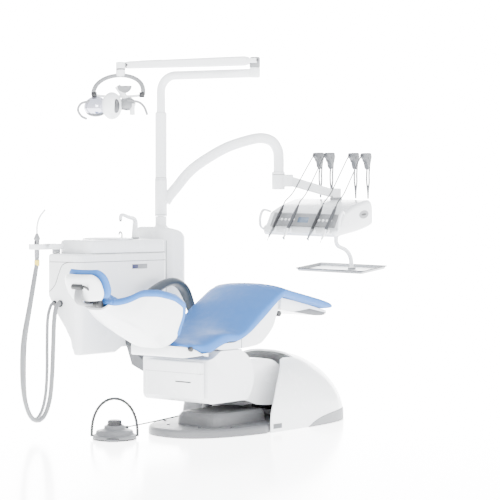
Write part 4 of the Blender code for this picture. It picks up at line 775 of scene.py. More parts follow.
def headrest():
    pad = piece("cushion_headrest", head_pad(0.004, 0.041, 0.134, 0.078, 0.016, 0.8), "blue_leather", "headrest",
                HEAD_FRAME, ("headrest_cushion",), smooth=60)
    dent_and_crease(pad, 0.0006, 12.0, 5.0)
    piece("headrest_back", head_pad(-0.046, 0.006, 0.122, 0.071, 0.015, 0.8), "white_gloss", "headrest",
          HEAD_FRAME, smooth=60, replaces=("headrest_shell",))
    pivot = BACK_FRAME @ Vector((0.515, 0, 0.012))
    top = HEAD_FRAME @ Vector((0.010, 0, -0.040))
    path = smooth_curve([pivot + Vector((-0.004, 0, 0.0)), pivot + Vector((-0.060, 0, -0.004)),
                         pivot + Vector((-0.098, 0, 0.022)), top], 8)
    strip = rounded_rectangle((-0.024, 0.024), (-0.006, 0.006), 0.004, 4)
    piece("headrest_link", sweep(path, lambda i, n: strip, up=(0.3, 0, 1)), "light_grey", "headrest")
    piece("headrest_knuckle", rod(pivot + Vector((0, -0.040, 0)), pivot + Vector((0, 0.040, 0)), 0.021, 40, 0.003),
          "dark_plastic", "headrest")
    knob = pivot + Vector((0, -0.041, 0))
    piece("headrest_knob", rod(knob + Vector((0, -0.020, 0)), knob + Vector((0, 0.002, 0)), 0.019, 40, 0.004),
          "dark_plastic", "headrest")
    lever = [pivot + Vector((-0.026, -0.040, 0.022)), pivot + Vector((-0.052, -0.046, 0.050)),
             pivot + Vector((-0.088, -0.060, 0.076)), pivot + Vector((-0.125, -0.066, 0.092))]
    flat = ellipse(0.006, 0.006, 20)
    piece("headrest_lever", sweep(smooth_curve(lever, 6), lambda i, n: flat, up=(0, 1, 0)), "dark_plastic",
          "headrest")
    pad = HEAD_FRAME @ Vector((0.02, 0, -0.048))
    piece("headrest_pivot_pad", rod(pad + Vector((0, -0.035, 0)), pad + Vector((0, 0.035, 0)), 0.014, 32, 0.003),
          "dark_plastic", "headrest")


def armrest():
    path = [(-0.085, 0.300, 0.560), (-0.088, 0.318, 0.620), (-0.105, 0.330, 0.690), (-0.150, 0.332, 0.757),
            (-0.215, 0.332, 0.790), (-0.290, 0.332, 0.786), (-0.370, 0.332, 0.757), (-0.440, 0.332, 0.722)]
    points = smooth_curve(path, 12)

    def section(i, n):
        t = i / (n - 1)
        width = 0.020 + 0.018 * min(1, t * 2.5)
        close = math.sqrt(max(0.05, 1 - max(0.0, 1 - min(t, 1 - t) / 0.03) ** 2))
        return ellipse(width * close, 0.023 * close, 36)
    piece("armrest_pad", sweep(points, section, up=(1, 0, 0)), "arm_grey", "carriage", replaces=("armrest",))
    foot = Vector(path[0])
    piece("armrest_socket", rod(foot + Vector((0, 0, -0.020)), foot + Vector((0, 0, 0.012)), 0.023, 40, 0.003),
          "dark_plastic", "carriage")


# ---------------------------------------------------------------- base and lift
def base_width(x):
    power = 3.4 if x > 0 else 2.4
    return 0.325 * max(0.0, 1 - abs(x / 0.66) ** power) ** (1 / power)


def base_outline(count=160):
    points = []
    for t in turns(count):
        power = 2 / (3.4 if math.cos(t) > 0 else 2.4)
        c, s = math.cos(t), math.sin(t)
        points.append((0.66 * math.copysign(abs(c) ** power, c), 0.325 * math.copysign(abs(s) ** power, s)))
    return points


def base_plate():
    rings = []
    for z, inset in ((0.0, 0.003), (0.003, 0.0), (0.030, 0.0), (0.036, 0.0012), (0.041, 0.0045), (0.044, 0.009),
                     (0.045, 0.015)):
        ring = []
        for x, y in base_outline():
            tuck = 0.020 if x > -0.174 else 0.0
            ring.append(Vector((x * (1 - (inset + tuck * 1.6) / 0.66), y * (1 - (inset + tuck) / 0.325), z)))
        rings.append(ring)
    piece("base_plate_cast", loft(rings), "grey_plate", "base", replaces=("base_plate",))
    post = Vector((-0.14, 0.16, 0))
    piece("cord_post", dome([(0.028, 0.040), (0.028, 0.112), (0.0272, 0.120), (0.0245, 0.126), (0.019, 0.1295)],
                            48, post), "light_grey", "base")
    gland = post + Vector((-0.0275, 0, 0.088))
    piece("cord_gland_post", rod(gland + Vector((0.006, 0, 0)), gland + Vector((-0.010, 0, 0)), 0.0085, 28, 0.002,
                                 0.0085), "dark_plastic", "base")
    for x, y in ((-0.52, 0.10), (-0.52, -0.12), (-0.40, 0.235), (-0.40, -0.245)):
        piece("anchor_bolt_%d_%d" % (round(-x * 100), round(100 + y * 100)),
              dome([(0.009, 0.044), (0.009, 0.0485), (0.0075, 0.0500)], 6, Vector((x, y, 0))), "dark_steel",
              "base")


def cowl_height(x):
    t = (x - 0.10) / 0.56
    return 0.415 if t <= 0 else 0.415 * max(0.0, 1 - t ** 2.1) ** 0.62


def cowl_skin(inset, end_inset, along=72, around=96):
    rings = []
    last = 0.656 - end_inset
    for k in range(along + 1):
        x = -0.17 + (last + 0.17) * math.sin(math.pi / 2 * k / along)
        width = max(base_width(x + end_inset * 0.6) - inset, 0.012)
        height = max(cowl_height(x + end_inset * 0.8) - inset, 0.014)
        ring = []
        for i in range(around + 1):
            t = math.pi * i / around
            c, s = math.cos(t), math.sin(t)
            ring.append(Vector((x, -width * math.copysign(abs(c) ** 0.72, c), height * abs(s) ** 0.62)))
        ring[0].z = ring[-1].z = 0.0
        rings.append(ring)
    return loft(rings)


def bumper_outline(grow):
    upper = smooth_curve([(0.78, 0, 0.066 + grow), (0.64, 0, 0.068 + grow), (0.52, 0, 0.067 + grow),
                          (0.36, 0, 0.057 + grow), (0.24, 0, 0.036 + grow), (0.155 - grow, 0, 0.002)], 8)
    return [(0.16 - grow * 4, -0.02), (0.78, -0.02)] + [(p.x, p.z) for p in upper]


def lowered(bm, drop):
    for vert in bm.verts:
        vert.co.z -= drop if vert.co.z < 0.001 else 0.0
        vert.co.x -= 0.02 if vert.co.x < -0.169 else 0.0
    return bm


def base_cowl():
    cowl = piece("cowl", cowl_skin(0.0, 0.0), "white_gloss", "base", replaces=("base_cowl",))
    cut(cowl, lowered(cowl_skin(0.008, 0.024), 0.02))
    front = smooth_curve([(-0.165, 0, -0.05), (-0.165, 0, 0.06), (-0.150, 0, 0.13), (-0.10, 0, 0.23),
                          (-0.045, 0, 0.295), (0.045, 0, 0.362), (0.125, 0, 0.396), (0.19, 0, 0.43)], 8)
    outline = [(-0.60, -0.05)] + [(p.x, p.z) for p in front] + [(-0.60, 0.60)]
    cut(cowl, extruded(outline, (-0.5, 0.5)))
    cut(cowl, box((-0.30, 0.180), (-0.198, 0.198), (0.30, 0.60)))
    cut(cowl, extruded(bumper_outline(0.0012), (-0.5, 0.5)))
    bumper = piece("bumper_strip", cowl_skin(-0.003, -0.002), "bumper", "base", replaces=("base_bumper",))
    cut(bumper, lowered(cowl_skin(0.008, 0.024), 0.05))
    cut(bumper, extruded([(p[0], max(p[1], -0.01)) for p in bumper_outline(0.0)], (-0.5, 0.5)), "INTERSECT")


def lift():
    for name, mat in (("base_housing", "grey_plate"), ("base_bracket", "dark_steel"), ("lift_arm", "dark_steel"),
                      ("carriage_frame", "dark_steel")):
        finish_node(name, mat)
    around = (-0.36, 0.30)
    bottom = smooth_curve([(-0.25, 0, 0.185), (-0.19, 0, 0.160), (-0.10, 0, 0.136), (0.10, 0, 0.124),
                           (0.22, 0, 0.124)], 6)[6:]
    top = smooth_curve([(0.22, 0, 0.258), (0.14, 0, 0.299), (0.085, 0, 0.326), (0.0, 0, 0.372),
                        (-0.10, 0, 0.389), (-0.19, 0, 0.41)], 6)[:-6]
    outline = arc(around, 0.162, 34, -49, 40) + [(p.x, p.z) for p in bottom] + [(p.x, p.z) for p in top]
    shroud = piece("lift_shroud_skin", extruded(outline, (-0.192, 0.192), bevel=0.014, segments=5), "white_gloss",
                   "lift_arm", replaces=("lift_shroud",))
    inner = [(-0.40, 0.10), (0.30, 0.10), (0.30, 0.236), (0.14, 0.285), (0.0, 0.357), (-0.10, 0.377),
             (-0.40, 0.381)]
    cut(shroud, extruded(inner, (-0.182, 0.182)))


def carriage_covers():
    left = arc((-0.540, 0.215), 0.035, 180, 270, 8)
    hub = arc((-0.36, 0.30), 0.155, -50.7, 70, 40)
    top = [(-0.30, 0.452), (-0.46, 0.452)] + arc((-0.46, 0.402), 0.050, 95, 125, 6)
    top += [(-0.53, 0.416), (-0.560, 0.413)] + arc((-0.563, 0.400), 0.012, 90, 180, 5)
    cover = piece("body_cover_skin", extruded(left + hub + top, (-0.232, 0.232), bevel=0.022, segments=6),
                  "white_gloss", "carriage", replaces=("body_cover",))
    inner = [(-0.555, 0.215), (-0.54, 0.195), (-0.33, 0.195), (-0.29, 0.150), (-0.10, 0.100), (-0.10, 0.42),
             (-0.30, 0.438), (-0.46, 0.438), (-0.53, 0.400), (-0.555, 0.398)]
    cut(cover, extruded(inner, (-0.150, 0.150)))
    cut(cover, box((-0.525, -0.385), (0.14, 0.30), (0.315, 0.385)))
    piece("side_cover_panel", box((-0.617, -0.5755), (-0.215, 0.175), (0.205, 0.400), 0.013, 6), "white_gloss",
          "carriage", replaces=("side_cover",))
    piece("side_cover_seam", box((-0.6175, -0.590), (-0.2165, 0.1765), (0.3395, 0.3410), 0.0005, 1), "seam",
          "carriage")
    piece("crossbeam_slot", box((-0.6185, -0.600), (-0.150, -0.040), (0.290, 0.297), 0.002, 2), "dark_plastic",
          "carriage")
    under = []
    for k in range(41):
        x = -0.50 + (KNEE_X - 0.014 + 0.50) * k / 40
        under.append((x, smoothly(SEAT_UNDER, x, 0.02) - 0.0030))
    lower = smooth_curve([(0.010, 0, 0.655), (0.000, 0, 0.630), (-0.03, 0, 0.560), (-0.10, 0, 0.497),
                          (-0.16, 0, 0.468), (-0.30, 0, 0.4555), (-0.46, 0, 0.4555)], 8)
    outline = [(p.x, p.z) for p in lower][::-1] + under[::-1]
    piece("seat_shell_skin", extruded(outline, (-0.225, 0.225), bevel=0.006, segments=4), "white_gloss",
          "carriage", replaces=("seat_shell",))
    piece("seat_shell_seam", box((-0.30, -0.2965), (-0.2262, 0.2262), (0.457, 0.505), 0.0005, 1), "seam",
          "carriage")
    leg = [(x, leg_top(x) - 0.0525) for x in (0.455, 0.30, 0.16, 0.05)]
    low = smooth_curve([(0.044, 0, 0.664), (0.052, 0, 0.646), (0.12, 0, 0.632), (0.34, 0, 0.600),
                        (0.43, 0, 0.598), (0.460, 0, 0.612)], 6)
    outline = [(p.x, p.z) for p in low] + leg
    piece("legrest_shell_skin", extruded(outline, (-0.215, 0.215), bevel=0.006, segments=4), "white_gloss",
          "legrest", replaces=("legrest_shell",))
    wedge = [(0.16, 0.628), (0.34, 0.600), (0.43, 0.598), (0.452, 0.610), (0.30, 0.640)]
    piece("legrest_wedge", extruded(wedge, (-0.2165, -0.210), bevel=0.001), "grey_plastic", "legrest")
    piece("legrest_wedge_far", extruded(wedge, (0.210, 0.2165), bevel=0.001), "grey_plastic", "legrest")
    axis = Vector((0.035, 0, 0.665))
    for side in (-1, 1):
        piece("knee_hinge_%s" % SIDES[side],
              rod(axis + Vector((-0.012, side * 0.2262, -0.040)), axis + Vector((-0.012, side * 0.200, -0.040)),
                  0.016, 36, 0.002), "dark_plastic", "carriage")
        socket = Vector((-0.684, side * 0.215, 0.474))
        piece("back_hinge_%s" % SIDES[side],
              rod(socket - Vector((0, side * 0.020, 0)), socket + Vector((0, side * 0.002, 0)), 0.0125, 36, 0.002),
              "dark_plastic", "carriage")


# ---------------------------------------------------------------- water unit
def unit():
    stations = [(0.418, (-0.860, -0.580), (0.428, 0.470), 0.020), (0.424, (-0.866, -0.570), (0.422, 0.476), 0.026),
                (0.446, (-0.869, -0.530), (0.420, 0.482), 0.028), (0.456, (-0.870, -0.180), (0.420, 0.490), 0.030),
                (0.500, (-0.870, -0.172), (0.420, 0.505), 0.036), (0.560, (-0.870, -0.170), (0.420, 0.548), 0.040),
                (0.640, (-0.870, -0.170), (0.420, 0.620), 0.044), (0.730, (-0.870, -0.170), (0.420, 0.680), 0.046),
                (0.940, (-0.870, -0.170), (0.420, 0.680), 0.046), (0.948, (-0.869, -0.170), (0.421, 0.679), 0.046),
                (0.954, (-0.865, -0.171), (0.426, 0.674), 0.044), (0.957, (-0.856, -0.172), (0.434, 0.666), 0.040)]
    rings = [[Vector((x, y, z)) for x, y in rounded_rectangle(xs, ys, r, 14)] for z, xs, ys, r in stations]
    piece("unit_cabinet", loft(rings), "white_gloss", "carriage", replaces=("unit_body",), smooth=32)
    seam_loop("unit_seam_parting", (-0.870, -0.170), (0.420, 0.680), 0.046, 0.912, 0.0015)
    curve = smooth_curve([(-0.855, 0.668, 0.746), (-0.8665, 0.652, 0.751), (-0.8703, 0.632, 0.762),
                          (-0.8703, 0.600, 0.792), (-0.8703, 0.576, 0.845), (-0.8703, 0.550, 0.892),
                          (-0.8703, 0.510, 0.909), (-0.8703, 0.468, 0.912)], 8)
    piece("unit_seam_curve", tube(curve, 0.0017, 8, up=(1, 0, 0)), "seam", "carriage")

    rings = []
    for z, inset in ((0.9573, 0.001), (0.960, 0.0), (1.010, 0.0), (1.018, 0.001), (1.024, 0.0035),
                     (1.028, 0.008), (1.030, 0.016)):
        outline = rounded_rectangle((-0.790 + inset, -0.170 - inset), (0.424 + inset, 0.672 - inset), 0.05, 14)
        rings.append([Vector((x, y, z)) for x, y in outline])
    top = piece("unit_worktop", loft(rings), "white_gloss", "carriage", replaces=("unit_top",))
    bowl = Vector((-0.52, 0.555, 0))
    cut(top, dome([(0.127, 0.9645), (0.127, 1.05)], 72, bowl))
    seam_loop("unit_seam_top", (-0.789, -0.170), (0.425, 0.671), 0.05, 0.958, 0.0017)

    rings = []
    for z, inset in ((0.470, 0.020), (0.474, 0.012), (0.485, 0.006), (0.52, 0.001), (0.56, 0.0), (1.046, 0.0),
                     (1.058, 0.002), (1.070, 0.007), (1.079, 0.015), (1.084, 0.024)):
        outline = rounded_rectangle((-0.1695 + inset, 0.030 - inset), (0.440 + inset, 0.735 - inset), 0.07, 16)
        rings.append([Vector((x, y, z - (0.18 * (x + 0.07) if z > 1.0 else 0))) for x, y in outline])
    piece("unit_column_skin", loft(rings), "white_gloss", "carriage", replaces=("unit_column",))
    piece("column_seam", box((-0.1704, -0.1680), (0.4385, 0.4405), (0.50, 1.02)), "seam", "carriage")
    profile = [(0.045, 1.040), (0.045, 1.088), (0.0435, 1.093), (0.038, 1.098), (0.033, 1.104), (0.033, 1.1535),
               (0.018, 1.1545), (0.018, 1.60)]
    piece("pole_socket", dome(profile, 64, POLE), "white_tube", "carriage")
    piece("pole_socket_ring", turned([(0.0445, 1.088), (0.0462, 1.088), (0.0462, 1.0905), (0.0445, 1.0905)], 64,
                                     POLE), "seam", "carriage")
    unit_badge()


def seam_loop(name, xs, ys, radius, z, proud):
    outline = rounded_rectangle((xs[0] - 0.0004, xs[1] + 0.0004), (ys[0] - 0.0004, ys[1] + 0.0004), radius, 12)
    outer = [Vector((x, y, 0)) for x, y in outline]
    inner = [Vector((x, y, 0)) for x, y in rounded_rectangle((xs[0] + 0.002, xs[1] - 0.002),
                                                             (ys[0] + 0.002, ys[1] - 0.002), radius - 0.002, 12)]
    rings = [[p + Vector((0, 0, z - proud)) for p in outer], [p + Vector((0, 0, z + proud)) for p in outer],
             [p + Vector((0, 0, z + proud)) for p in inner], [p + Vector((0, 0, z - proud)) for p in inner]]
    piece(name, loft(rings, wrap=True), "seam", "carriage")


def unit_badge():
    """Plain two-tone badge on the cabinet's near face."""
    piece("badge_plate", box((-0.466, -0.346), (0.4185, 0.4212), (0.868, 0.894), 0.0008, 2), "light_grey",
          "carriage")
    piece("badge_mark", box((-0.463, -0.420), (0.4178, 0.4195), (0.871, 0.891), 0.0006, 2), "navy", "carriage")


def bowl_and_filler():
    r, z = 0.125, 1.03
    outer = [(0.020, z - 0.064), (r * 0.30, z - 0.0635), (r * 0.55, z - 0.060), (r * 0.74, z - 0.051),
             (r * 0.86, z - 0.040), (r * 0.95, z - 0.024), (r, z - 0.008), (r, z + 0.001), (r + 0.012, z + 0.0008),
             (r + 0.0142, z + 0.002), (r + 0.0142, z + 0.006), (r + 0.012, z + 0.0075), (r + 0.002, z + 0.0095)]
    inner = [(r - 0.004, z + 0.0085), (r - 0.008, z + 0.002), (r * 0.88, z - 0.020), (r * 0.80, z - 0.034),
             (r * 0.66, z - 0.045), (r * 0.50, z - 0.052), (r * 0.30, z - 0.0550), (0.020, z - 0.056)]
    place = Vector((-0.52, 0.555, 0))
    piece("bowl_ceramic", turned(outer + inner, 96, place), "ceramic", "bowl", replaces=("bowl",))
    piece("bowl_strainer", dome([(0.022, z - 0.0565), (0.022, z - 0.0535), (0.016, z - 0.0520)], 40, place),
          "chrome", "bowl")
    for k in range(6):
        a = 2 * math.pi * k / 6
        hole = place + Vector((0.010 * math.cos(a), 0.010 * math.sin(a), 0))
        piece("bowl_strainer_hole_%d" % k, dome([(0.0028, z - 0.0530), (0.0028, z - 0.0515)], 16, hole),
              "dark_plastic", "bowl")
    spout = [place + Vector((0.112, 0.0, z + 0.004)), place + Vector((0.112, 0, z + 0.030)),
             place + Vector((0.098, 0, z + 0.040)), place + Vector((0.086, -0.003, z + 0.026))]
    piece("bowl_rinser", tube(smooth_curve(spout, 8), 0.0045, 20, up=(0, 1, 0)), "chrome", "carriage")

    stem = Vector((-0.30, 0.56, 1.03))
    path = [stem + Vector((0, 0, 0.001)), stem + Vector((0, 0, 0.03)), stem + Vector((0.004, 0.0, 0.090)),
            stem + Vector((-0.020, -0.012, 0.112)), stem + Vector((-0.080, -0.030, 0.122)),
            stem + Vector((-0.140, -0.045, 0.134)), stem + Vector((-0.162, -0.050, 0.128)),
            stem + Vector((-0.166, -0.052, 0.104))]
    points = smooth_curve(path, 10)

    def section(i, n):
        t = i / (n - 1)
        return ellipse(0.019 - 0.009 * min(1, t * 1.3), 0.017 - 0.008 * min(1, t * 1.3), 32)
    piece("cup_filler_spout", sweep(points, section, up=(1, 0, 0)), "white_gloss", "cup_filler",
          replaces=("cup_filler",))
    tip = points[-1]
    piece("cup_filler_nozzle", rod(tip + Vector((0, 0, 0.004)), tip + Vector((-0.0006, 0, -0.007)), 0.0065, 28,
                                   0.001), "dark_plastic", "cup_filler")
    piece("cup_filler_ring", rod(stem + Vector((0, 0, -0.0008)), stem + Vector((0, 0, 0.008)), 0.024, 48, 0.002),
          "light_grey", "cup_filler")


def assistant_holder():
    pivot = ASSIST_PIVOT
    outline = smooth_loop([(0.030, -0.030), (0.030, 0.030), (-0.060, 0.040), (-0.100, 0.062), (-0.150, 0.050),
                           (-0.182, 0.020), (-0.182, -0.030), (-0.150, -0.046), (-0.060, -0.034)], 6)
    points = [(pivot.x + u * 0.985, pivot.y + v * 0.97) for u, v in outline]
    arm = piece("assistant_arm_skin", extruded(points, (pivot.z + 0.022, pivot.z + 0.052), "xy", bevel=0.006,
                                               segments=5), "white_gloss", "assistant_arm",
                replaces=("assistant_arm",))
    for index, radius in ((0, 0.0147), (1, 0.0117)):
        place = suction_place(index)
        cut(arm, rod(place + Vector((0, 0, -0.1)), place + Vector((0, 0, 0.1)), radius, 40))
    piece("assistant_pivot", rod(pivot + Vector((0, 0, 0.0003)), pivot + Vector((0, 0, 0.028)), 0.022, 48, 0.002),
          "light_grey", "assistant_arm")
    panel = [(pivot.x + u, pivot.y + v) for u, v in rounded_rectangle((-0.085, -0.015), (-0.018, 0.018), 0.008, 6)]
    piece("assistant_panel", extruded(panel, (pivot.z + 0.0515, pivot.z + 0.0535), "xy", bevel=0.0006), "display",
          "assistant_arm")
    for index, (name, radius) in enumerate((("suction_large", 0.0135), ("suction_small", 0.0105))):
        place = suction_place(index)
        profile = [(radius * 0.80, -0.060), (radius * 0.93, -0.057), (radius, -0.050), (radius, 0.034),
                   (radius + 0.003, 0.035), (radius + 0.004, 0.037), (radius + 0.004, 0.044),
                   (radius + 0.002, 0.047), (radius * 0.86, 0.056), (radius * 0.62, 0.064), (radius * 0.5, 0.068)]
        lower = [[place + Vector((r * math.cos(t), r * math.sin(t), z)) for t in turns(40)] for r, z in profile]
        piece(name + "_handle", loft(lower), "light_grey", name, replaces=(name,))
        bend = smooth_curve([(0, 0, 0.066), (0.002, 0.0, 0.11), (0.014, -0.006, 0.155), (0.042, -0.018, 0.195)], 10)
        piece(name + "_tip", tube([place + p for p in bend], radius * 0.36, 28, up=(0, 1, 0)),
              "white_satin" if index == 0 else "shield", name)
        piece(name + "_valve", box((place.x - radius - 0.004, place.x - radius + 0.006), (place.y - 0.004,
                                   place.y + 0.004), (place.z + 0.010, place.z + 0.028), 0.0015), "dark_plastic",
              name)
    piece("hose_tag", turned([(0.0120, -0.104), (0.0146, -0.104), (0.0146, -0.074), (0.0120, -0.074)], 48,
                             suction_place(0)), "yellow", "assistant_arm")
    for index, (y, r) in enumerate(((0.560, 0.0185), (0.605, 0.0145))):
        port = Vector((-0.8694, y, 0.690))
        piece("hose_port_%d" % (index + 1), rod(port + Vector((0.006, 0, 0)), port + Vector((-0.008, 0, 0)), r, 36,
                                                0.002), "dark_plastic", "carriage")


def smooth_loop(points, per_span):
    """Closed Catmull-Rom outline through 2-D points."""
    count = len(points)
    pts = [Vector((*p, 0.0)) for p in points]
    out = []
    for i in range(count):
        near = [pts[(i + k) % count] for k in (-1, 0, 1, 2)]
        for k in range(per_span):
            p = between(*near, k / per_span)
            out.append((p.x, p.y))
    return out


# ---------------------------------------------------------------- operating light
def light_pole():
    profile = [(0.033, 1.3765), (0.033, 1.744), (0.0325, 1.749), (0.030, 1.754), (0.025, 1.757), (0.025, 1.84)]
    pole = piece("light_pole_tube", dome(profile, 64, POLE), "white_tube", "light_pole", replaces=("light_pole",))
    cut(pole, rod(POLE + Vector((0, 0, 1.35)), POLE + Vector((0, 0, 1.61)), 0.0183, 48))
    elbow = LIGHT_ELBOW
    top = elbow.z - 0.030
    reach = Vector((elbow.x - POLE.x, elbow.y - POLE.y, 0))
    run = reach.normalized()
    path = [Vector((POLE.x, POLE.y, 1.82))]
    bend = 0.09
    for k in range(25):
        t = math.pi / 2 * k / 24
        path.append(Vector((POLE.x, POLE.y, top - bend)) + run * bend * (1 - math.cos(t))
                    + Vector((0, 0, bend * math.sin(t))))
    path.append(Vector((POLE.x, POLE.y, top)) + run * (reach.length - 0.012))
    piece("light_pole_bend", tube(path, 0.0246, 48, up=run), "white_tube", "light_pole")
    low = elbow.z - 0.056
    piece("light_pole_socket", dome([(0.022, low), (0.0275, low + 0.002), (0.030, low + 0.006),
                                     (0.030, elbow.z - 0.004), (0.028, elbow.z)], 64, (elbow.x, elbow.y, 0)),
          "white_gloss", "light_pole")
    piece("light_elbow_block", dome([(0.026, elbow.z + 0.0005), (0.029, elbow.z + 0.002), (0.030, elbow.z + 0.006),
                                     (0.030, elbow.z + 0.052), (0.0285, elbow.z + 0.057),
                                     (0.024, elbow.z + 0.060)], 64, (elbow.x, elbow.y, 0)), "light_grey",
          "light_elbow", replaces=("light_elbow",))
    ring = [(0.0295, 1.3755), (0.0338, 1.3755), (0.0338, 1.3775), (0.0295, 1.3775)]
    piece("pole_ring_upper", turned(ring, 64, POLE), "seam", "light_pole")


def spring_arm():
    start = LIGHT_ELBOW + Vector((0, 0, 0.040))
    end = LAMP_JOINT + Vector((0, 0, 0.012))
    run = (end - start).normalized()
    path = [start + run * 0.041, start + run * 0.066] + [start.lerp(end, k / 10) for k in range(2, 9)]
    path += [end - run * 0.050, end - run * 0.036, end - run * 0.030]
    size = [0.021, 0.0265, 0.0262, 0.0256, 0.0248, 0.0240, 0.0232, 0.0224, 0.0215, 0.020, 0.0185, 0.0165]

    def section(i, n):
        return [(size[i] * a, size[i] * b) for a, b in rounded_rectangle((-0.8, 0.8), (-1, 1), 0.45, 8)]
    piece("spring_arm_cover", sweep(path, section), "white_gloss", "spring_arm", replaces=("spring_arm",))
    across = run.cross(Vector((0, 0, 1))).normalized()
    top = start.lerp(end, 0.70) + Vector((0, 0, 0.0226))
    far = start.lerp(end, 0.86) + Vector((0, 0, 0.0212))
    piece("spring_arm_adjuster", sweep([top, far], lambda i, n: [(-0.004, -0.001), (0.004, -0.001),
                                                                 (0.004, 0.0012), (-0.004, 0.0012)]),
          "dark_plastic", "spring_arm")
    for sign in (-1, 1):
        near = start + run * 0.060 + across * sign * 0.0190
        tip = start + run * 0.004 + across * sign * 0.0318
        plate = [near, start + run * 0.040 + across * sign * 0.0300, tip]
        strap = ellipse(0.0022, 0.014, 20)
        piece("spring_arm_cheek_%s" % ENDS[sign],
              sweep(smooth_curve(plate, 6), lambda i, n: strap, up=(0, 0, 1)), "white_gloss", "spring_arm")
    piece("spring_arm_pin", rod(start - across * 0.0345, start + across * 0.0345, 0.0075, 32, 0.001), "dark_steel",
          "spring_arm")
    nose = end - run * 0.036
    piece("spring_arm_nose", rod(nose, end - run * 0.0265, 0.0150, 40, 0.001, 0.0140), "seam", "spring_arm")


def lamp():
    joint, centre = LAMP_JOINT, LAMP_CENTRE
    knuckle = [(0.020, 0.030), (0.0245, 0.0285), (0.026, 0.024), (0.026, -0.006), (0.0235, -0.0075),
               (0.0235, -0.0125), (0.026, -0.014), (0.026, -0.040), (0.0225, -0.048), (0.015, -0.050)]
    piece("lamp_knuckle", dome([(r, joint.z + z) for r, z in reversed(knuckle)], 56, (joint.x, joint.y, 0)),
          "white_gloss", "lamp_yoke", replaces=("lamp_yoke",))
    piece("lamp_knuckle_ring", turned([(0.0232, joint.z - 0.0120), (0.0262, joint.z - 0.0115),
                                       (0.0262, joint.z - 0.0080), (0.0232, joint.z - 0.0075)], 56,
                                      (joint.x, joint.y, 0)), "dark_plastic", "lamp_yoke")
    arch = []
    shift = Vector((joint.x - centre.x, joint.y - centre.y, 0))
    for k in range(49):
        t = math.pi * k / 48
        point = centre + VIEW_RIGHT * 0.135 * math.cos(t) + Vector((0, 0, 0.015 + 0.110 * math.sin(t) ** 0.8))
        arch.append(point + shift * math.sin(math.pi * k / 48))
    flat = ellipse(0.0125, 0.0085, 28)
    piece("lamp_yoke_arch", sweep(arch, lambda i, n: flat, up=VIEW_AWAY), "light_grey", "lamp_yoke")
    for side, end in (("right", arch[0]), ("left", arch[-1])):
        inward = -VIEW_RIGHT if side == "right" else VIEW_RIGHT
        piece("lamp_yoke_pivot_" + side, rod(end - inward * 0.008, end + inward * 0.020, 0.015, 40, 0.002),
              "dark_plastic", "lamp_yoke")

    lamp_head(centre)


def ellipsoid(centre, right, away, up, rows=28, sides=56, opening=math.pi):
    """Ellipsoid with half axes along the view's right, away and up directions, left open past an angle."""
    axes = (VIEW_RIGHT * right, VIEW_AWAY * away, Vector((0, 0, up)))
    rings = []
    for k in range(rows + 1):
        t = 0.02 + (opening - 0.04) * k / rows
        rings.append([centre + axes[2] * math.cos(t) + math.sin(t) * (axes[0] * math.cos(a) + axes[1] * math.sin(a))
                      for a in turns(sides)])
    return loft(rings)


def in_view(place, right, up):
    """The point this far to the view's right of a place and above it."""
    return place + VIEW_RIGHT * right + Vector((0, 0, up))


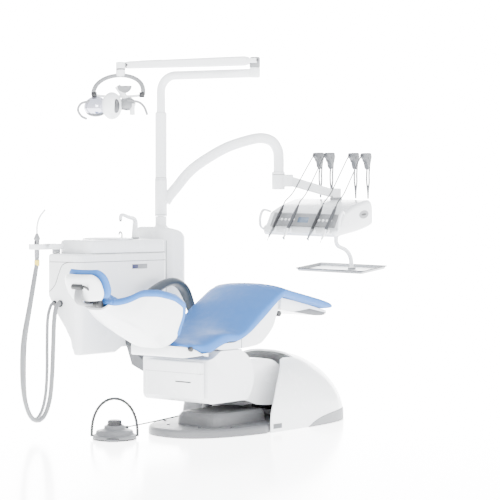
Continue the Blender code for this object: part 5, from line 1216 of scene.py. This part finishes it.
def lamp_head(centre):
    """Capsule in the middle, a reflector wing on either side, and the brackets and handles around them."""
    tilt = Matrix.Translation(centre) @ Matrix.Rotation(math.radians(18), 4, VIEW_RIGHT) @ \
        Matrix.Translation(-centre)
    down = Vector((0, 0, -1))
    capsule = centre - VIEW_RIGHT * 0.032 + down * 0.046 - VIEW_AWAY * 0.020
    piece("lamp_capsule", ellipsoid(capsule, 0.056, 0.058, 0.074), "white_gloss", "lamp", replaces=("lamp_body",))
    drop = capsule + VIEW_RIGHT * 0.027 - VIEW_AWAY * 0.044 + down * 0.004
    piece("lamp_capsule_window", ellipsoid(drop, 0.018, 0.012, 0.038), "dark_steel", "lamp")
    for name, sign, drop_by in (("left", -1, 0.052), ("right", 1, 0.036)):
        wing = centre + VIEW_RIGHT * (-0.122 if sign < 0 else 0.048) + down * drop_by
        size = (0.066, 0.075, 0.056) if sign < 0 else (0.046, 0.062, 0.036)
        outer = ellipsoid(wing, *size, opening=math.pi * 0.62)
        shell = piece("lamp_wing_" + name, moved(outer, tilt), "reflector" if sign < 0 else "light_grey", "lamp")
        cut(shell, moved(ellipsoid(wing + down * 0.004, *(a - 0.003 for a in size)), tilt))
        lens = ellipsoid(wing + down * size[2] * 0.42, size[0] - 0.010, size[1] - 0.012, size[2] * 0.50)
        piece("lamp_lens_" + name, moved(lens, tilt), "grey_plastic", "lamp",
              replaces=("lamp_glass",) if sign < 0 else ())
    gear = centre + VIEW_RIGHT * 0.034 + Vector((0, 0, 0.064))
    half = [(0.040 * math.cos(t), -0.040 * math.sin(t)) for t in (math.pi * k / 24 for k in range(25))]
    disc = [[in_view(gear, u, w) + VIEW_AWAY * depth for u, w in half]
            for depth in (-0.012, 0.012)]
    piece("lamp_gearbox", loft(disc), "light_grey", "lamp_yoke", bevel=0.003)
    strut = [in_view(centre, u, w) for u, w in ((-0.004, 0.062), (0.018, 0.030), (0.040, -0.008))]
    band = ellipse(0.017, 0.012, 24)
    piece("lamp_strut", sweep(smooth_curve(strut, 8), lambda i, n: band, up=VIEW_AWAY), "white_gloss", "lamp")
    corners = ((-0.030, 0.022), (0.066, -0.062), (0.018, -0.068))
    plate = [[in_view(centre, u, w) + VIEW_AWAY * depth for u, w in corners]
             for depth in (0.006, 0.012)]
    piece("lamp_side_plate", loft(plate), "dark_steel", "lamp", bevel=0.002)
    crossbar = [in_view(centre, u, w)
                for u, w in ((-0.130, 0.012), (-0.060, 0.006), (0.060, 0.006), (0.130, 0.012))]
    piece("lamp_crossbar", tube(smooth_curve(crossbar, 6), 0.0070, 24, up=(0, 0, 1)), "white_gloss", "lamp")
    left = [(-0.150, -0.022), (-0.196, -0.034), (-0.214, -0.068), (-0.196, -0.102), (-0.166, -0.118)]
    right = [(0.050, -0.018), (0.110, -0.026), (0.142, -0.052), (0.160, -0.096)]
    for name, route in (("left", left), ("right", right)):
        path = [in_view(centre, u, w) - VIEW_AWAY * 0.030 for u, w in route]
        piece("lamp_handle_" + name, tube(smooth_curve(path, 8), 0.0066, 24, up=VIEW_AWAY), "light_grey", "lamp")
    stub = centre + VIEW_RIGHT * 0.078 - VIEW_AWAY * 0.020
    piece("lamp_adjuster", rod(stub + Vector((0, 0, -0.034)), stub + Vector((0, 0, -0.096)), 0.014, 36, 0.003),
          "white_gloss", "lamp")


# ---------------------------------------------------------------- instrument delivery
def table_point(u, v, w):
    return TABLE_FRAME @ Vector((u, v, w))


def arm_ends():
    hub = table_point(0.165, -0.03, 0.150)
    run = Vector((hub.x - ELBOW.x, hub.y - ELBOW.y, 0)).normalized()
    return (Vector((ELBOW.x, ELBOW.y, 1.366)) + run * 0.060, Vector((hub.x, hub.y, 1.292)) - run * 0.030, run)


def delivery_arms():
    direction = Vector((0.876, -0.482, 0.0)).normalized()
    hub = [(0.0185, 1.1552), (0.0335, 1.1552), (0.0358, 1.158), (0.0358, 1.371), (0.0335, 1.3748),
           (0.0185, 1.3748)]
    piece("delivery_hub", turned(hub, 64, POLE), "white_tube", "delivery_arm", replaces=("delivery_arm",))
    for z in (1.1655, 1.3645):
        piece("delivery_hub_ring_%d" % round(z * 1000),
              turned([(0.0352, z - 0.0008), (0.0363, z - 0.0008), (0.0363, z + 0.0008), (0.0352, z + 0.0008)], 64,
                     POLE), "seam", "delivery_arm")
    profile = [(0.028, 1.238), (0.05, 1.272), (0.10, 1.330), (0.16, 1.400), (0.237, 1.463), (0.387, 1.550),
               (0.52, 1.597), (0.62, 1.616), (0.690, 1.598), (0.726, 1.548), (0.733, 1.490), (0.733, 1.4186)]
    path = smooth_curve([POLE + direction * h + Vector((0, 0, z)) for h, z in profile], 10)
    pipe = piece("delivery_tube", tube(path, 0.031, 48, up=(0, 0, 1)), "white_tube", "delivery_arm")
    cut(pipe, rod(POLE + Vector((0, 0, 1.10)), POLE + Vector((0, 0, 1.60)), 0.0183, 48))
    place = (ELBOW.x, ELBOW.y, 0)
    block = [(0.034, 1.3130), (0.0395, 1.3145), (0.041, 1.319), (0.041, 1.412), (0.0395, 1.4165), (0.034, 1.418)]
    a, b, run = arm_ends()
    elbow = piece("delivery_elbow_block", dome(block, 64, place), "white_gloss", "delivery_elbow",
                  replaces=("delivery_elbow",))
    start = Vector((ELBOW.x, ELBOW.y, a.z))
    square = rounded_rectangle((-0.030, 0.030), (-0.036, 0.036), 0.010, 8)
    cut(elbow, sweep([start, start + run * 0.082, start + run * 0.086], lambda i, n: [(p * (1 if i < 2 else 0.93),
        q * (1 if i < 2 else 0.93)) for p, q in square]), "UNION")
    slot = [(-0.0215, -0.06), (0.0215, -0.06), (0.0215, 0.06), (-0.0215, 0.06)]
    cut(elbow, sweep([start + run * 0.036, start + run * 0.12], lambda i, n: slot))
    piece("delivery_elbow_ring", turned([(0.0405, 1.3995), (0.0416, 1.3995), (0.0416, 1.4025), (0.0405, 1.4025)],
                                        64, place), "dark_plastic", "delivery_elbow")
    across = run.cross(Vector((0, 0, 1))).normalized()
    for sign in (-1, 1):
        near = a + across * sign * 0.0296
        piece("delivery_elbow_cap_%s" % ENDS[sign],
              rod(near, near + across * sign * 0.003, 0.012, 40, 0.001), "white_satin", "delivery_elbow")
    along = (b - a).normalized()
    path = [a - along * 0.012, a - along * 0.006, a + along * 0.014] + [a.lerp(b, k / 8) for k in range(2, 7)]
    path += [b - along * 0.014, b + along * 0.006, b + along * 0.012]
    half = (0.019, 0.0245, 0.028, 0.0278, 0.0276, 0.0272, 0.0268, 0.0264, 0.026, 0.0235, 0.018)

    def section(i, n):
        return [(0.0200 * p, half[i] * q) for p, q in rounded_rectangle((-1, 1), (-1, 1), 0.45, 8)]
    piece("delivery_spring_arm_cover", sweep(path, section), "white_gloss", "delivery_spring_arm",
          replaces=("delivery_spring_arm",))


def table_outline():
    rounded = smooth_curve([(-0.136, 0, 0.122), (-0.115, 0, 0.132), (-0.02, 0, 0.158), (0.10, 0, 0.178),
                            (0.165, 0, 0.184), (0.205, 0, 0.178), (0.222, 0, 0.150)], 4)
    back = smooth_curve([(0.222, 0, 0.060), (0.205, 0, 0.034), (0.05, 0, 0.012), (-0.215, 0, 0.000)], 4)
    front = smooth_curve([(-0.215, 0, 0.000), (-0.222, 0, 0.012), (-0.220, 0, 0.034), (-0.190, 0, 0.048)], 4)
    return [(p.x, p.z) for p in front + rounded + back[:-1]]


def instrument_table():
    outline = table_outline()
    centre = (0.0, 0.085)
    rings = []
    for k in range(9):
        t = math.pi / 2 * k / 8
        rings.append((-0.250 + 0.024 * (1 - math.cos(t)), 0.024 * (1 - math.sin(t))))
    sections = rings + [(-v, inset) for v, inset in reversed(rings)]
    body = loft([[Vector((centre[0] + (u - centre[0]) * (1 - inset / 0.22), v,
                          centre[1] + (w - centre[1]) * (1 - inset / 0.09))) for u, w in outline]
                 for v, inset in sections])
    table = piece("table_case", body, "white_gloss", "table", TABLE_FRAME, ("table_body",), smooth=32)
    mouth = [(-0.252, 0.074), (-0.185, 0.0455), (-0.1305, 0.1205), (-0.162, 0.164)]
    cutter = extruded(mouth, (-0.215, 0.215))
    cut(table, moved(cutter, TABLE_FRAME))
    low = table_point(0.165, -0.03, 0.150)
    _, b, run = arm_ends()
    post = rod(low, Vector((low.x, low.y, 1.320)), 0.030, 56, 0.004)
    cut(table, post, "UNION")
    hub = Vector((low.x, low.y, b.z))
    slot = [(-0.0215, -0.0315), (0.0215, -0.0315), (0.0215, 0.06), (-0.0215, 0.06)]
    cut(table, sweep([hub - run * 0.060, hub - run * 0.008], lambda i, n: slot))
    oval = Matrix.Translation((0.10, -0.248, 0.105))
    for name, size, depth, mat in (("recess", (0.058, 0.024), 0.0022, "light_grey"),
                                   ("slot", (0.030, 0.006), 0.0032, "dark_plastic")):
        ring = [[Vector((size[0] * math.cos(t), y, size[1] * math.sin(t))) for t in turns(40)]
                for y in (0.004, -depth)]
        piece("table_side_" + name, loft(ring), mat, "table", TABLE_FRAME @ oval)
    control_panel()
    table_handles()
    holder()
    piece("table_hub_ring", rod(table_point(0.165, -0.03, 0.172), table_point(0.165, -0.03, 0.196), 0.036, 56,
                                0.004), "light_grey", "table")


def moved(bm, matrix):
    """The same mesh after a matrix."""
    bmesh.ops.transform(bm, matrix=matrix, verts=bm.verts)
    return bm


def panel_axes():
    """Frame of the control panel's face: v across, then up along the slope, then out of the face."""
    low, high = Vector((-0.1840, 0, 0.0505)), Vector((-0.1355, 0, 0.1165))
    slope = (high - low).normalized()
    out = Vector((-slope.z, 0, slope.x))
    middle = (low + high) / 2 + out * 0.0072
    return TABLE_FRAME @ Matrix.Translation(middle) @ Matrix(((0, slope.x, out.x, 0), (1, 0, 0, 0),
                                                              (0, slope.z, out.z, 0), (0, 0, 0, 1)))


def control_panel():
    panel = [(-0.1840, 0.0505), (-0.1355, 0.1165), (-0.1410, 0.1215), (-0.1900, 0.0545)]
    piece("panel_plate", extruded(panel, (-0.213, 0.213), bevel=0.0012, segments=3), "light_grey", "table",
          TABLE_FRAME, replaces=("control_panel",))
    axes = panel_axes()
    piece("panel_display", box((-0.030, 0.040), (-0.018, 0.018), (-0.002, 0.0006), 0.0006, 2), "display", "table",
          axes)
    for k in range(5):
        for side in (-1, 1):
            x = side * (0.075 + 0.026 * k) if side < 0 else 0.070 + 0.026 * k
            row = [(x + 0.0085 * math.cos(t), 0.0085 * math.sin(t)) for t in turns(24)]
            piece("panel_key_%s_%d" % ("right" if side < 0 else "left", k + 1),
                  extruded(row, (-0.002, 0.0012), "xy", bevel=0.0008, segments=2), "white_satin", "table", axes)
    lip = smooth_curve([(-0.2165, -0.225, 0.020), (-0.2185, -0.150, 0.019), (-0.2190, 0.0, 0.019),
                        (-0.2185, 0.150, 0.019), (-0.2165, 0.225, 0.020)], 8)
    piece("table_front_lip", sweep(lip, lambda i, n: ellipse(0.0045, 0.009, 20), up=(0, 0, 1)), "white_gloss",
          "table", TABLE_FRAME)


def table_handles():
    for name, sign in (("left", 1), ("right", -1)):
        v = 0.246 * sign
        loop = [(-0.205, v, 0.030), (-0.222, v + 0.014 * sign, 0.052), (-0.215, v + 0.018 * sign, 0.105),
                (-0.180, v + 0.016 * sign, 0.140), (-0.130, v, 0.128)]
        piece("table_handle_" + name, tube(smooth_curve(loop, 8), 0.0065, 24, up=(0, 1, 0)), "white_gloss",
              "table", TABLE_FRAME)
        grip = smooth_curve(loop, 8)[8:25]
        piece("table_handle_grip_" + name, tube(grip, 0.0080, 24, up=(0, 1, 0)), "white_satin", "table",
              TABLE_FRAME)


def holder():
    outline = [(-0.225, -0.003), (0.225, -0.003), (0.225, 0.004)]
    for v in sorted(HANDPIECE_V, reverse=True):
        outline += [(v + 0.020, 0.004), (v + 0.020, 0.022), (v + 0.0135, 0.022)]
        outline += [(v + 0.0135 * math.cos(t), 0.022 - 0.0135 * math.sin(t))
                    for t in (math.pi * k / 20 for k in range(1, 20))]
        outline += [(v - 0.0135, 0.022), (v - 0.020, 0.022), (v - 0.020, 0.004)]
    outline += [(-0.225, 0.004)]
    tilt = Matrix.Translation((-0.235, 0, 0.0249)) @ Matrix.Rotation(math.radians(-45), 4, "Y")
    rings = [[Vector((u, v, w)) for v, w in outline] for u in (-0.010, 0.008)]
    piece("holder_comb", loft(rings), "white_satin", "table", TABLE_FRAME @ tilt, replaces=("instrument_holder",),
          bevel=0.0012)


def whips():
    """Each whip is a pair of thin rods with a flat funnel head that the hose leaves from."""
    for index, v in enumerate(WHIP_V):
        name = "whip_%d" % (index + 1)
        for side in (-1, 1):
            y = v + side * 0.0080
            path = [(0.200, v, 0.1890), (0.2005, v + side * 0.002, 0.235), (0.2015, y, 0.285), (0.2020, y, 0.330),
                    (0.2080, y, 0.372), (0.2130, y, 0.405), (0.2020, y, 0.430)]
            piece("%s_rod_%s" % (name, "a" if side < 0 else "b"), tube(smooth_curve(path, 7), 0.0050, 20,
                  up=(0, 1, 0)), "grey_plastic", name, TABLE_FRAME, replaces=(name,) if side < 0 else ())
        head = [(0.2000, 0.366), (0.2220, 0.410), (0.2330, 0.440), (0.2260, 0.4535), (0.2100, 0.4585),
                (0.1520, 0.4600), (0.1340, 0.4560), (0.1300, 0.4460), (0.1380, 0.4330), (0.1680, 0.4110),
                (0.1840, 0.366)]
        loop = smooth_loop(head, 5)
        piece(name + "_head", extruded(loop, (v - 0.0125, v + 0.0125), bevel=0.0060, segments=6), "grey_plastic",
              name, TABLE_FRAME)
        piece(name + "_foot", rod((0.200, v, 0.1885), (0.200, v, 0.2100), 0.0048, 28, 0.001), "light_grey", name,
              TABLE_FRAME)
        eye = Matrix.Translation((0.185, v, 0.428))
        piece(name + "_eye", rod((0, -0.0132, 0), (0, 0.0132, 0), 0.0062, 28, 0.001), "dark_plastic", name,
              TABLE_FRAME @ eye)
        piece(name + "_nozzle", rod((0.1340, v, 0.4490), (0.1275, v, 0.4445), 0.0056, 24, 0.001), "dark_plastic",
              name, TABLE_FRAME)


def handpieces():
    """Four tools whose shapes follow their use: syringe, two turbines and a scaler."""
    looks = ("dark_plastic", "dark_steel", "dark_plastic", "dark_steel")
    for index in range(4):
        name = "handpiece_%d" % (index + 1)
        top, tip = handpiece_ends(index)
        axis = (tip - top).normalized()
        widths = [(0.0, 0.0052), (0.003, 0.0060), (0.020, 0.0068), (0.024, 0.0092), (0.060, 0.0102),
                  (0.100, 0.0105), (0.140, 0.0098), (0.170, 0.0090), (0.176, 0.0082), (0.215, 0.0066),
                  (0.240, 0.0056)]
        upper = [(s, r) for s, r in widths if s <= 0.176]
        lower = [(s, r) for s, r in widths if s >= 0.170]
        lower[0] = (0.1705, 0.0084)
        turned_along(name + "_body", upper, top, axis, looks[index], name, (name,))
        turned_along(name + "_neck", lower, top, axis, "chrome" if index in (0, 2) else "white_satin", name)
        turned_along(name + "_coupling", [(-0.0002, 0.0048), (0.001, 0.0064), (0.014, 0.0066), (0.016, 0.0060)],
                     top, axis, "dark_steel", name)
        for k in range(3):
            along = 0.078 + 0.006 * k
            turned_along("%s_ring_%d" % (name, k + 1), [(along, 0.0100), (along + 0.0004, 0.0108),
                         (along + 0.0016, 0.0108), (along + 0.0020, 0.0100)], top, axis, "dark_steel", name)
        head = top + axis * 0.240
        if index in (1, 2):
            across = Vector((-axis.z, 0, axis.x))
            piece(name + "_head", rod(head - across * 0.007 + axis * 0.004, head + across * 0.009 + axis * 0.004,
                                      0.0062, 32, 0.0015), "chrome", name, TABLE_FRAME)
            bur = head + across * 0.009 + axis * 0.004
            piece(name + "_bur", rod(bur, bur + across * 0.009, 0.0012, 12), "steel", name, TABLE_FRAME)
        else:
            bend = smooth_curve([head - axis * 0.004, head + axis * 0.018, head + axis * 0.032
                                 + Vector((0.004, 0, 0.002))], 6)
            piece(name + "_tip", tube(bend, 0.0022, 16, up=(0, 1, 0)), "chrome", name, TABLE_FRAME)


def turned_along(name, profile, origin, axis, mat, body, replaced=()):
    up = Vector((axis.z, 0, -axis.x))
    rings = [[origin + axis * s + up * r * math.cos(t) + Vector((0, 1, 0)) * r * math.sin(t) for t in turns(36)]
             for s, r in profile]
    piece(name, loft(rings), mat, body, TABLE_FRAME, replaces=replaced)


def tray():
    path = [(-0.020, -0.130, -0.012), (-0.020, -0.130, -0.050), (-0.010, -0.140, -0.075),
            (0.030, -0.165, -0.100), (0.055, -0.180, -0.140), (0.062, -0.185, -0.1990)]
    oval = ellipse(0.013, 0.010, 36)
    piece("tray_arm_bar", sweep(smooth_curve(path, 10), lambda i, n: oval, up=(1, 0, 0)), "white_gloss",
          "tray_arm", TABLE_FRAME, replaces=("tray_arm",))
    piece("tray_arm_pad", dome([(0.017, -0.0178), (0.020, -0.015), (0.020, 0.0045)], 48, (-0.020, -0.130, 0.0)),
          "light_grey", "tray_arm", TABLE_FRAME)
    base = -0.2015
    outline = rounded_rectangle((-0.100, 0.200), (-0.345, 0.100), 0.010, 8)
    cx, cy = 0.05, -0.1225

    def ring(z, inset):
        return [Vector((cx + (x - cx) * (1 - inset / 0.15), cy + (y - cy) * (1 - inset / 0.22), z))
                for x, y in outline]
    outer = [ring(base - 0.0190, 0.014), ring(base - 0.0180, 0.0095), ring(base - 0.0150, 0.0075),
             ring(base - 0.0040, 0.0030), ring(base - 0.0028, 0.0), ring(base - 0.0008, 0.0), ring(base, 0.0012),
             ring(base - 0.0006, 0.0040), ring(base - 0.0025, 0.0055), ring(base - 0.0145, 0.0095),
             ring(base - 0.0172, 0.0140)]
    piece("tray_pan", loft(outer), "steel", "tray", TABLE_FRAME, replaces=("tray",))
    rim = [[Vector((p.x, p.y, base - 0.0016)) + Vector(((p.x - cx) / 0.15 * a, (p.y - cy) / 0.22 * a, b))
            for p in ring(base, 0.0)] for a, b in ellipse(0.0030, 0.0034, 12)]
    piece("tray_rim", loft(rim, wrap=True), "dark_steel", "tray", TABLE_FRAME)
    piece("tray_boss", dome([(0.023, base - 0.0172), (0.023, base - 0.0030), (0.021, base - 0.0010)], 48,
                            (0.062, -0.185, 0)), "light_grey", "tray", TABLE_FRAME)
    mat_outline = rounded_rectangle((-0.078, 0.178), (-0.322, 0.078), 0.008, 6)
    piece("tray_mat", extruded(mat_outline, (base - 0.0170, base - 0.0140), "xy", bevel=0.001), "white_satin",
          "tray", TABLE_FRAME)


# ---------------------------------------------------------------- foot control
def foot_control():
    centre = FOOT_CENTRE
    profile = [(0.1065, 0.0), (0.1125, 0.002), (0.114, 0.006), (0.114, 0.018), (0.1125, 0.0225), (0.102, 0.0265),
               (0.099, 0.029), (0.096, 0.042), (0.092, 0.046), (0.074, 0.0495), (0.060, 0.053), (0.056, 0.057),
               (0.054, 0.068), (0.050, 0.0715), (0.036, 0.073)]
    piece("foot_control_body", dome(profile, 96, centre), "grey_plate", "base", replaces=("foot_base",))
    piece("foot_control_skirt", turned([(0.1122, 0.0002), (0.1146, 0.0002), (0.1146, 0.0065), (0.1135, 0.0075)], 96,
                                       centre), "dark_plastic", "base")
    piece("foot_control_column", dome([(0.040, 0.0725), (0.040, 0.080), (0.034, 0.0805)], 64, centre),
          "dark_plastic", "base")
    disc = [(0.032, 0.0800), (0.0355, 0.0810), (0.0365, 0.084), (0.0365, 0.093), (0.0350, 0.0970), (0.031, 0.0985)]
    piece("foot_control_disc", dome(disc, 72, centre), "dark_plastic", "base")
    for k in range(4):
        piece("foot_disc_groove_%d" % (k + 1), turned([(0.008 + 0.006 * k, 0.0983), (0.010 + 0.006 * k, 0.0983),
              (0.010 + 0.006 * k, 0.0993), (0.008 + 0.006 * k, 0.0993)], 64, centre), "grey_plastic", "base")
    forward = -VIEW_AWAY
    nose = centre + forward * 0.147
    shelf = rounded_rectangle((-0.032, 0.032), (0.0040, 0.0160), 0.004, 5)
    piece("foot_pedal_plate", sweep([centre + forward * 0.116, nose], lambda i, n: shelf), "dark_steel",
          "foot_pedal", replaces=("foot_pedal",))
    arch = [centre + VIEW_RIGHT * 0.119 * math.cos(t) + Vector((0, 0, 0.022 + 0.188 * math.sin(t) ** 0.85))
            for t in (math.pi * k / 48 for k in range(49))]
    piece("foot_bail_wire", tube(arch, 0.0072, 24, up=forward), "dark_plastic", "foot_bail", replaces=("foot_bail",))
    for side in (-1, 1):
        hinge = centre + VIEW_RIGHT * side * 0.1125 + Vector((0, 0, 0.022))
        piece("bail_hinge_%s" % ("left" if side < 0 else "right"),
              rod(hinge, hinge + VIEW_RIGHT * side * 0.013, 0.009, 28, 0.002), "dark_plastic", "base")
    gland = centre + Vector((0.0925, 0.0, 0.052))
    piece("foot_cord_gland", rod(gland + Vector((-0.060, 0, -0.0005)), gland + Vector((0.006, 0, 0)), 0.0085, 28,
                                 0.002), "dark_plastic", "base")


def base_label():
    """Plain rating label, with nothing printed on it, on the cowl's near side."""
    rows = []
    for x in (-0.148, -0.080):
        y = -base_width(x) - 0.0002
        rows.append((x, y))
    (x0, y0), (x1, y1) = rows
    out = Vector((y1 - y0, -(x1 - x0), 0)).normalized() * 0.0012
    if out.y > 0:
        out = -out
    corners = [Vector((x0, y0, 0.020)), Vector((x1, y1, 0.020)), Vector((x1, y1, 0.046)), Vector((x0, y0, 0.046))]
    rings = [[p - 6 * out for p in corners], [p + out for p in corners]]
    piece("cowl_label", loft(rings), "grey_plastic", "base")


# ---------------------------------------------------------------- assembly
def build():
    make_camera()
    make_materials()
    foot_cord()
    suction_hoses()
    instrument_hoses()
    make_world()
    make_stage()
    seat_cushion()
    seat_rear_cover()
    backrest()
    headrest()
    armrest()
    finish_node("headrest_bar", "dark_steel")
    base_plate()
    base_cowl()
    base_label()
    lift()
    carriage_covers()
    unit()
    bowl_and_filler()
    assistant_holder()
    light_pole()
    spring_arm()
    lamp()
    delivery_arms()
    instrument_table()
    whips()
    handpieces()
    tray()
    foot_control()
    area_light("key", (-3.5, -4.0, 4.5), (0, 0, 0.8), (2.5, 2.5), 260)
    area_light("fill", (3.5, -5.0, 2.0), (0, 0, 0.7), (2.0, 2.0), 60)


build()
